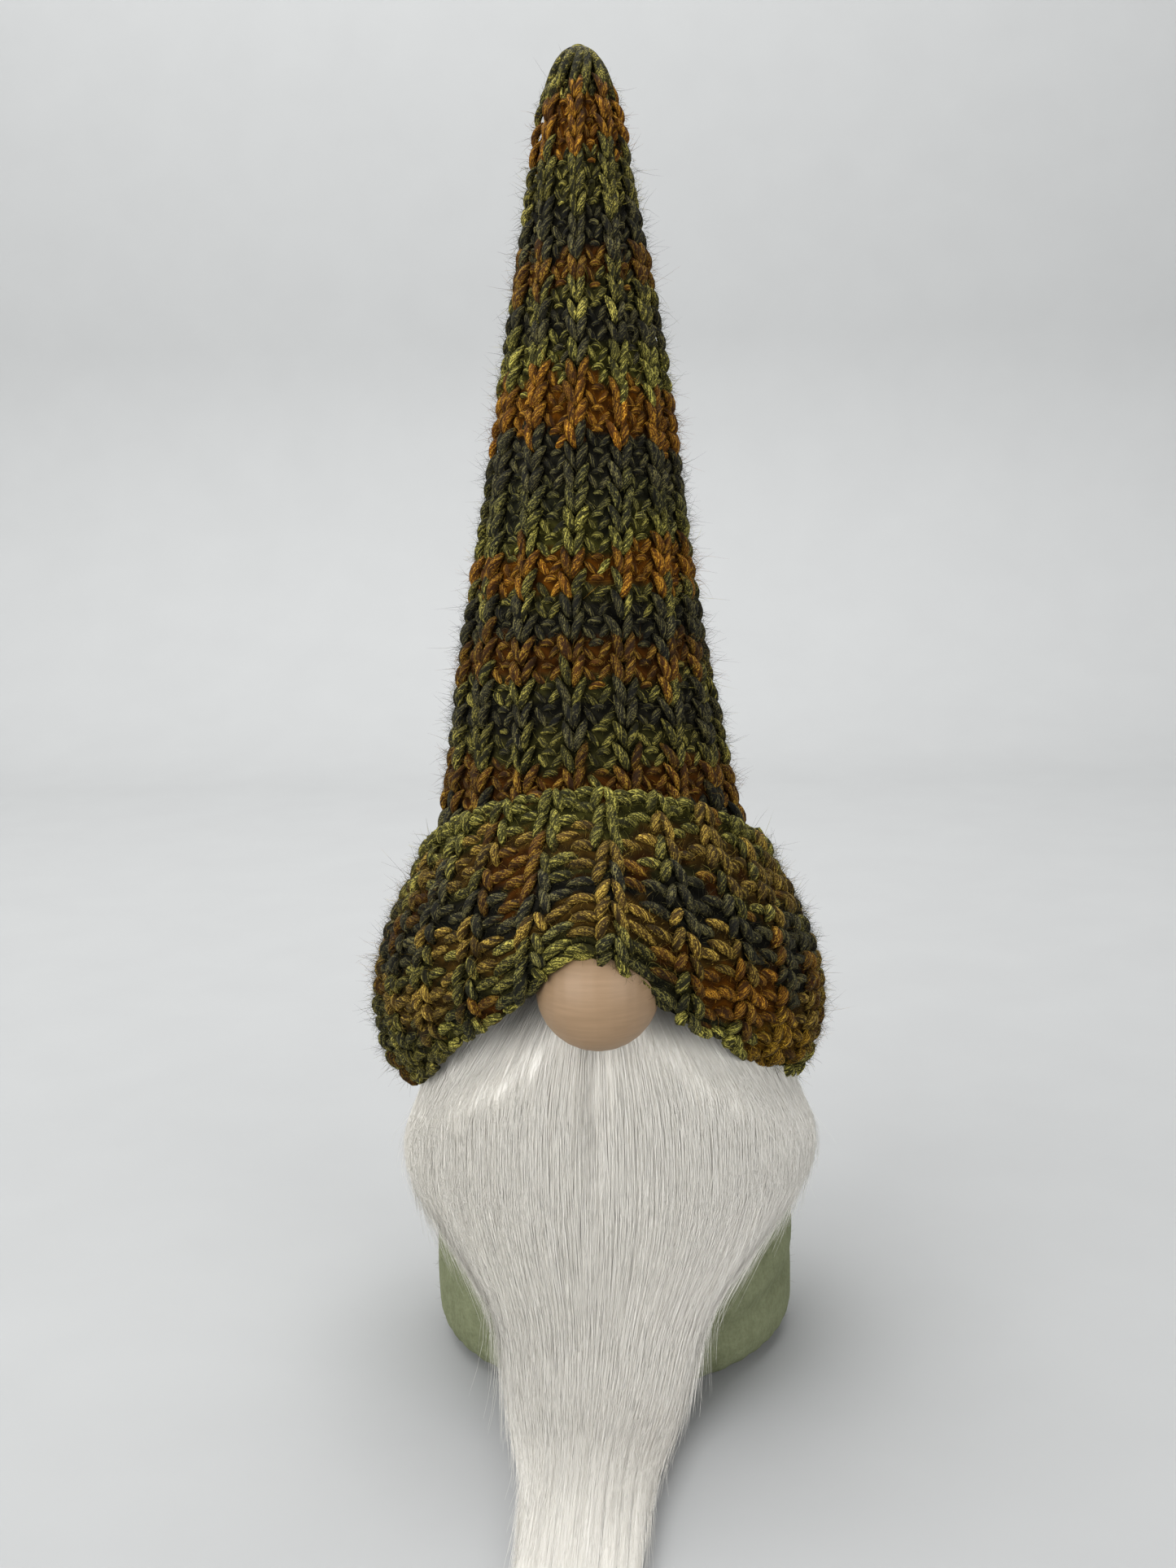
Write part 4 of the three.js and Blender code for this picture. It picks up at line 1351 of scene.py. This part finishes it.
# ------------------------------------------------------------------ beard
@dataclass
class Beard:
    """Long faux fur that hangs from under the cuff and runs out over the ground.

    A place in it is a distance down from its top, a share across from -1 to 1, and a share of
    its depth from 0 at the backing to 1 at its surface. It hangs, turns out over a quarter
    round, and lies flat to its end.

    Attributes:
        body: gives the radius that the fur hangs on.
        top: height of its upper edge.
        turn_out: height where it starts to turn out.
        bed: height of its underside on the ground.
        end: how far in front of the axis it ends.
        depth: thickness of the pile.
        wrap: (height, half-angle in degrees) round the body.
        width: (distance in front, half-width) on the ground.
        flow: (distance down, spread of the hairs against the outline), so that hairs at the
            sides leave the outline and end there.
        parting: where it parts below the nose, in millimetres to one side.
        sweep: sideways drift where it comes off the quarter round, and at its end.
        bend_angle: half-angle in degrees of its arc where it starts to turn out.
        flat_angle: half-angle in degrees of that arc where it lies on the ground.
        stand_off: distance from the sleeve to its backing where it starts to turn out.
        pile: shares of the depth where its closed body ends and starts.
        root: share of the depth where the hairs start.
        hairs: hairs in one coat.
        coats: coats of hairs.
    """

    body: Body
    top: float = 122.0
    turn_out: float = 25.0
    bed: float = 1.0
    end: float = 146.0
    depth: float = 8.5
    wrap: Rows = (
        (18, 24.5), (25, 26), (31, 30.5), (38, 37), (45, 46), (50, 56), (54, 67), (60, 73),
        (67, 76), (78, 79), (86, 76), (96, 66), (108, 52), (118, 38), (124, 34),
    )
    width: Rows = ((75, 19.2), (92, 15.5), (116, 13.6), (131, 12.8), (141, 11), (146, 9))
    flow: Rows = (
        (0, 1), (60, 1), (66, 1.04), (71, 1.16), (76, 1.38),
        (83, 1.58), (90, 1.7), (97, 1.78), (135, 1.9), (204, 2.5),
    )
    parting: float = -2.0
    sweep: tuple[float, float] = (-3.4, -5.2)
    bend_angle: float = 26.0
    flat_angle: float = 1.5
    stand_off: float = 3.7
    pile: tuple[float, float] = (0.84, 0.05)
    root: float = 0.78
    hairs: int = 5000
    coats: int = 4

    @property
    def turn_radius(self) -> float:
        """Radius of the quarter round that takes the beard out onto the ground."""
        return self.turn_out - self.bed

    @property
    def stations(self) -> tuple[float, float, float]:
        """Distances down to the quarter round's start, its end, and the beard's end."""
        hang = self.top - self.turn_out
        turned = hang + self.turn_radius * math.pi / 2
        start = self.body.radius(np.array(self.turn_out)) + self.stand_off + self.turn_radius
        return hang, turned, turned + self.end - float(start)

    def place(self, down: Array, across: Array, deep: Array) -> Array:
        """Points of the beard.

        The middle line gives a place and a direction out. Across it the beard is an arc whose
        radius is the body's where it hangs, and its half-width over the sine of its half-angle
        after that.

        Args:
            down: distance from the top along the beard.
            across: share across.
            deep: share of the depth.

        Returns:
            The points in millimetres.
        """
        hang, turned, last = self.stations
        z = np.maximum(self.top - down, self.turn_out)
        share = np.clip((down - hang) / (turned - hang), 0, 1)
        flat = np.clip((down - turned) / (last - turned), 0, 1)
        out = share * np.pi / 2

        opening = self.bend_angle + (self.flat_angle - self.bend_angle) * share
        wrap = np.radians(np.where(share > 0, opening, curve(self.wrap, z)))
        turn = across * wrap
        covered = step(cuff_low(turn) - z, -3, 19)
        base = self.body.radius(z) + 1.7 + 2.0 * np.maximum(covered, step(down, 40, 60))
        narrow = (self.body.radius(z) + self.stand_off) * math.sin(math.radians(self.bend_angle))
        start = self.body.radius(np.array(self.turn_out)) + self.stand_off
        front = start + self.turn_radius * (1 - np.cos(out)) + flat * (last - turned)
        wide = curve(self.width, start + self.turn_radius)
        half = np.where(flat > 0, curve(self.width, front), narrow + (wide - narrow) * share)
        bend = np.where(share > 0, half / np.sin(wrap), base)

        crown = 0.6 + 0.4 * np.sqrt(np.maximum(0, 1 - np.minimum(np.abs(across), 1) ** 2))
        parted = step(down, 14, 28) * (1 - step(down, 46, 66))
        parting = 1 - 0.42 * bell(bend * np.sin(turn) - self.parting, 2.8) * parted
        full = self.depth * crown * parting * (1 - 0.75 * flat**1.6)
        pile = np.where(share > 0, full, 1.2 + (full - 1.2) * covered)
        lift = deep * pile
        away = (bend + lift) * np.cos(turn) - bend
        drift = self.sweep[0] * step(down, 58, turned) + (self.sweep[1] - self.sweep[0]) * flat
        x = (bend + lift) * np.sin(turn) + drift
        middle = np.where(share > 0, front, bend)
        y = -middle - away * np.cos(out)
        fall = self.turn_out - self.turn_radius * np.sin(out)
        height = np.where(share > 0, fall + away * np.sin(out), z)
        return np.stack(np.broadcast_arrays(x, y, height), -1)

    def normal(self, down: Array, across: Array) -> Array:
        """Directions from the backing to the surface at places of the beard."""
        return unit(self.place(down, across, np.array(1.0)) - self.place(down, across, np.array(0.0)))

    def undercoat(self) -> Piece:
        """The closed body of the pile beneath its outer hairs: it narrows under the loose end."""
        last = self.stations[2]
        down = np.concatenate([np.linspace(0.5, 60, 34), np.linspace(61.5, last - 3, 96)])[::-1]
        across = np.linspace(-0.9, 0.9, 61)
        wide = len(across)
        loop = np.concatenate([across, across[::-1]])
        deep = np.repeat(self.pile, wide)
        rows, columns = np.broadcast_arrays(down[:, None], loop[None])
        thin = step(rows, 118, last)
        points = self.place(rows, columns * (1 - 0.6 * thin), deep[None] * (1 - 0.55 * thin))
        skin = grid(points, False, True)
        ends = [np.arange(wide), np.arange(wide) + wide]
        size = len(loop)
        caps = []
        for row, flip in ((0, False), (len(down) - 1, True)):
            front, back = (row * size + part for part in (ends[0], ends[1][::-1]))
            quads = np.stack([front[:-1], back[:-1], back[1:], front[1:]], -1)
            caps.append(quads[:, ::-1] if flip else quads)
        skin.faces.append(np.concatenate(caps))
        width = points[..., 0]
        lie = np.stack([width, rows + 0 * width, deep * 40 + 0 * width], -1)
        skin.values["lie"] = lie.reshape(-1, 3)
        piece = make_piece("beard_undercoat", skin, PILE)
        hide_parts("beard_pile_upper", "beard_pile_lower")
        return piece

    def coat(self, number: int) -> Piece:
        """One coat of hairs.

        A hair starts just inside the undercoat, rises to its own level, and keeps its share of
        the flow, so it spreads against the outline. It draws a little towards the nearest of a
        row of locks as it runs down, gathers in finer tufts towards the beard's end, and sways.
        It ends where the flow leaves the outline.

        Args:
            number: which coat; later ones lie nearer the surface.

        Returns:
            The coat.
        """
        rng = np.random.default_rng(60 + number)
        count = self.hairs
        last = self.stations[2]
        start = rng.uniform(0, 1, count) ** 0.85 * (last - 42)
        down_flow = curve(self.flow, start)
        spot = rng.uniform(-1, 1, count) / down_flow
        length = rng.uniform(52, 92, count)
        places, widths = np.array(self.flow, float).T
        leave = np.interp(1 / np.maximum(np.abs(spot), 0.02), widths, places)
        leave = np.where(np.abs(spot) > 0.97, 62.0, leave) + rng.normal(0, 5.0, count)
        finish = np.minimum(np.minimum(start + length, leave), last - rng.gamma(1.6, 4.0, count))
        keep = finish - start > 14
        start, spot, finish = start[keep], spot[keep], finish[keep]
        count = len(start)

        t = np.linspace(0, 1, 6)[None]
        down = start[:, None] + (finish - start)[:, None] * t
        locks = np.sort(np.random.default_rng(80 + number).uniform(-1, 1, 150))
        nearest = locks[np.abs(spot[:, None] - locks[None]).argmin(1)]
        drawn = spot[:, None] + (nearest - spot)[:, None] * 0.1 * t**1.4
        tufts = np.sort(np.random.default_rng(90).uniform(-0.6, 0.6, 70))
        tuft = tufts[np.abs(spot[:, None] - tufts[None]).argmin(1)]
        drawn = drawn + (tuft - spot)[:, None] * 0.45 * step(down, 112, last - 20)
        sway = 0.010 * np.sin(down / rng.uniform(9, 20, (count, 1)) + rng.uniform(0, 6, (count, 1)))
        edge = step(np.abs(spot[:, None]), 0.3, 0.95)
        loose = rng.normal(0, 0.014 + 0.022 * edge, (count, 1)) * t**1.5
        across = (drawn + sway * t + loose) * curve(self.flow, down)
        level = rng.uniform(0.9, 0.95 + 0.015 * number, (count, 1))
        rise = step(t, 0.0, 0.3)
        deep = self.root + (level - self.root) * rise + rng.normal(0, 0.02, (count, 1)) * t
        paths = self.place(down, across, deep)
        paths[..., 2] = np.maximum(paths[..., 2], 0.35)
        thick = rng.uniform(0.05, 0.085, (count, 1))
        radii = thick * (0.25 + 0.75 * (1 - t) ** 0.6) * np.minimum(1, 0.3 + 4 * t)
        skin = strands(paths, radii, self.normal(down, across), 3)
        tone = rng.choice(4, count, p=(0.42, 0.3, 0.18, 0.1))
        skin.slots = strand_slots(tone, skin)
        return make_piece(f"beard_hairs_{number + 1}", skin, *HAIR_TONES)

    def flyaways(self) -> Piece:
        """Stray hairs that leave the beard's sides and surface."""
        rng = np.random.default_rng(71)
        count = 2600
        start = rng.uniform(20, 150, count)
        side = np.where(rng.uniform(size=count) < 0.6, 1.0, -1.0)
        spot = side * rng.uniform(0.45, 1.0, count) / curve(self.flow, start)
        t = np.linspace(0, 1, 7)[None]
        length = rng.uniform(22, 52, count)
        down = np.minimum(start + length, self.stations[2] - 2)[:, None] * t + start[:, None] * (1 - t)
        across = spot[:, None] * curve(self.flow, down)
        across = np.clip(across, -1.05, 1.05) + side[:, None] * rng.gamma(1.5, 0.042, (count, 1)) * t**2
        deep = 0.7 + rng.gamma(2.0, 0.16, (count, 1)) * t**1.5
        paths = self.place(down, across, deep)
        paths[..., 2] = np.maximum(paths[..., 2], 0.35)
        radii = 0.075 * (1.1 - t) + 0 * across
        skin = strands(paths, radii, self.normal(down, across), 3)
        skin.slots = strand_slots(rng.choice(2, count), skin)
        return make_piece("beard_flyaways", skin, *HAIR_TONES)

    def build(self) -> list[Piece]:
        """Makes the beard's pieces."""
        made = [self.undercoat(), *(self.coat(n) for n in range(self.coats)), self.flyaways()]
        for piece in made:
            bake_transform(piece)
        return made


# ------------------------------------------------------------------ stage
@dataclass
class Stage:
    """A pale sweep, soft lights, and the camera in front of the figure, a little above it.

    Attributes:
        eye: the camera's place in millimetres, before it is swung round the figure.
        swing: how far it is swung to the figure's left, in degrees.
        pitch: how far it looks down, in degrees.
        roll: how far it is tipped sideways, in degrees.
        lens: focal length on a 36 mm sensor.
        fold: distance behind the figure where the floor starts to rise.
        lamps: name, place and size in metres, power in watts, and aim of each light.
    """

    eye: tuple[float, float, float] = (-4.0, -500.0, 255.0)
    swing: float = 2.8
    pitch: float = 11.5
    roll: float = -1.5
    lens: float = 43.9
    fold: float = 760.0
    lamps: Sequence[tuple] = (
        ("overhead softbox", (-0.3, 0.15, 1.45), 1.7, 27.0, (0.0, 0.0, 0.1)),
        ("left softbox", (-1.0, -1.2, 0.5), 1.5, 32.0, (0.0, 0.0, 0.12)),
        ("right fill", (1.1, -1.2, 0.5), 1.5, 22.0, (0.0, 0.0, 0.12)),
        ("back fill", (0.3, 0.65, 1.3), 0.9, 4.0, (0.0, 0.0, 0.15)),
        ("backdrop light", (-0.2, 0.45, 1.25), 0.8, 7.6, (-0.1, 1.06, 0.45)),
    )

    def sweep(self) -> None:
        """Floor and backdrop: one sheet that is flat, turns up over a quarter round, and rises."""
        angle = np.radians(np.linspace(0, 90, 24))
        y = np.concatenate([[-3000, -1500, 0], self.fold + 300 * np.sin(angle), [self.fold + 300]])
        z = np.concatenate([[0, 0, 0], 300 * (1 - np.cos(angle)), [3000]])
        x = np.linspace(2500, -2500, 9)
        points = np.stack(np.broadcast_arrays(x[None], y[:, None], z[:, None]), -1)
        floor = make_piece("backdrop", grid(points[::-1]), STAGE)

    def light(self, name: str, place: tuple, size: float, power: float, aim: tuple) -> None:
        """Adds a square soft light at a place, facing its aim."""
        data = bpy.data.lights.new(name, "AREA")
        data.shape = "SQUARE"
        data.size = size
        data.energy = power
        lamp = bpy.data.objects.new(name, data)
        bpy.context.scene.collection.objects.link(lamp)
        toward = Matrix.Translation(place).to_translation() - Matrix.Translation(aim).to_translation()
        lamp.matrix_world = Matrix.Translation(place) @ toward.to_track_quat("Z", "Y").to_matrix().to_4x4()

    def build(self) -> None:
        """Sets the sweep, the lights, the surrounding light and the camera."""
        self.sweep()
        for lamp in self.lamps:
            self.light(*lamp)
        world = bpy.data.worlds.new("pale room")
        world.use_nodes = True
        background = world.node_tree.nodes["Background"]
        background.inputs["Color"].default_value = linear("#f1f3f7")
        background.inputs["Strength"].default_value = 0.22
        bpy.context.scene.world = world
        bpy.context.scene.view_settings.view_transform = "Standard"

        data = bpy.data.cameras.new("camera")
        data.lens = self.lens
        data.sensor_width = 36.0
        camera = bpy.data.objects.new("camera", data)
        bpy.context.scene.collection.objects.link(camera)
        down = Matrix.Rotation(math.radians(90 - self.pitch), 4, "X")
        tipped = Matrix.Rotation(math.radians(self.roll), 4, "Z")
        swung = Matrix.Rotation(math.radians(self.swing), 4, "Z")
        camera.matrix_world = swung @ Matrix.Translation([v * MM for v in self.eye]) @ down @ tipped
        bpy.context.scene.camera = camera


def main() -> None:
    """Builds the figure and its stage, and reports each piece."""
    logging.basicConfig(level=logging.INFO, format="%(name)s: %(message)s")
    body = Body()
    assemblies = {"body": body, "nose": Nose(), "hat": Hat(), "beard": Beard(body)}
    for name, assembly in assemblies.items():
        assembly.build()
        log.info("%s is done", name)
    Stage().build()


if __name__ == "__main__":
    main()
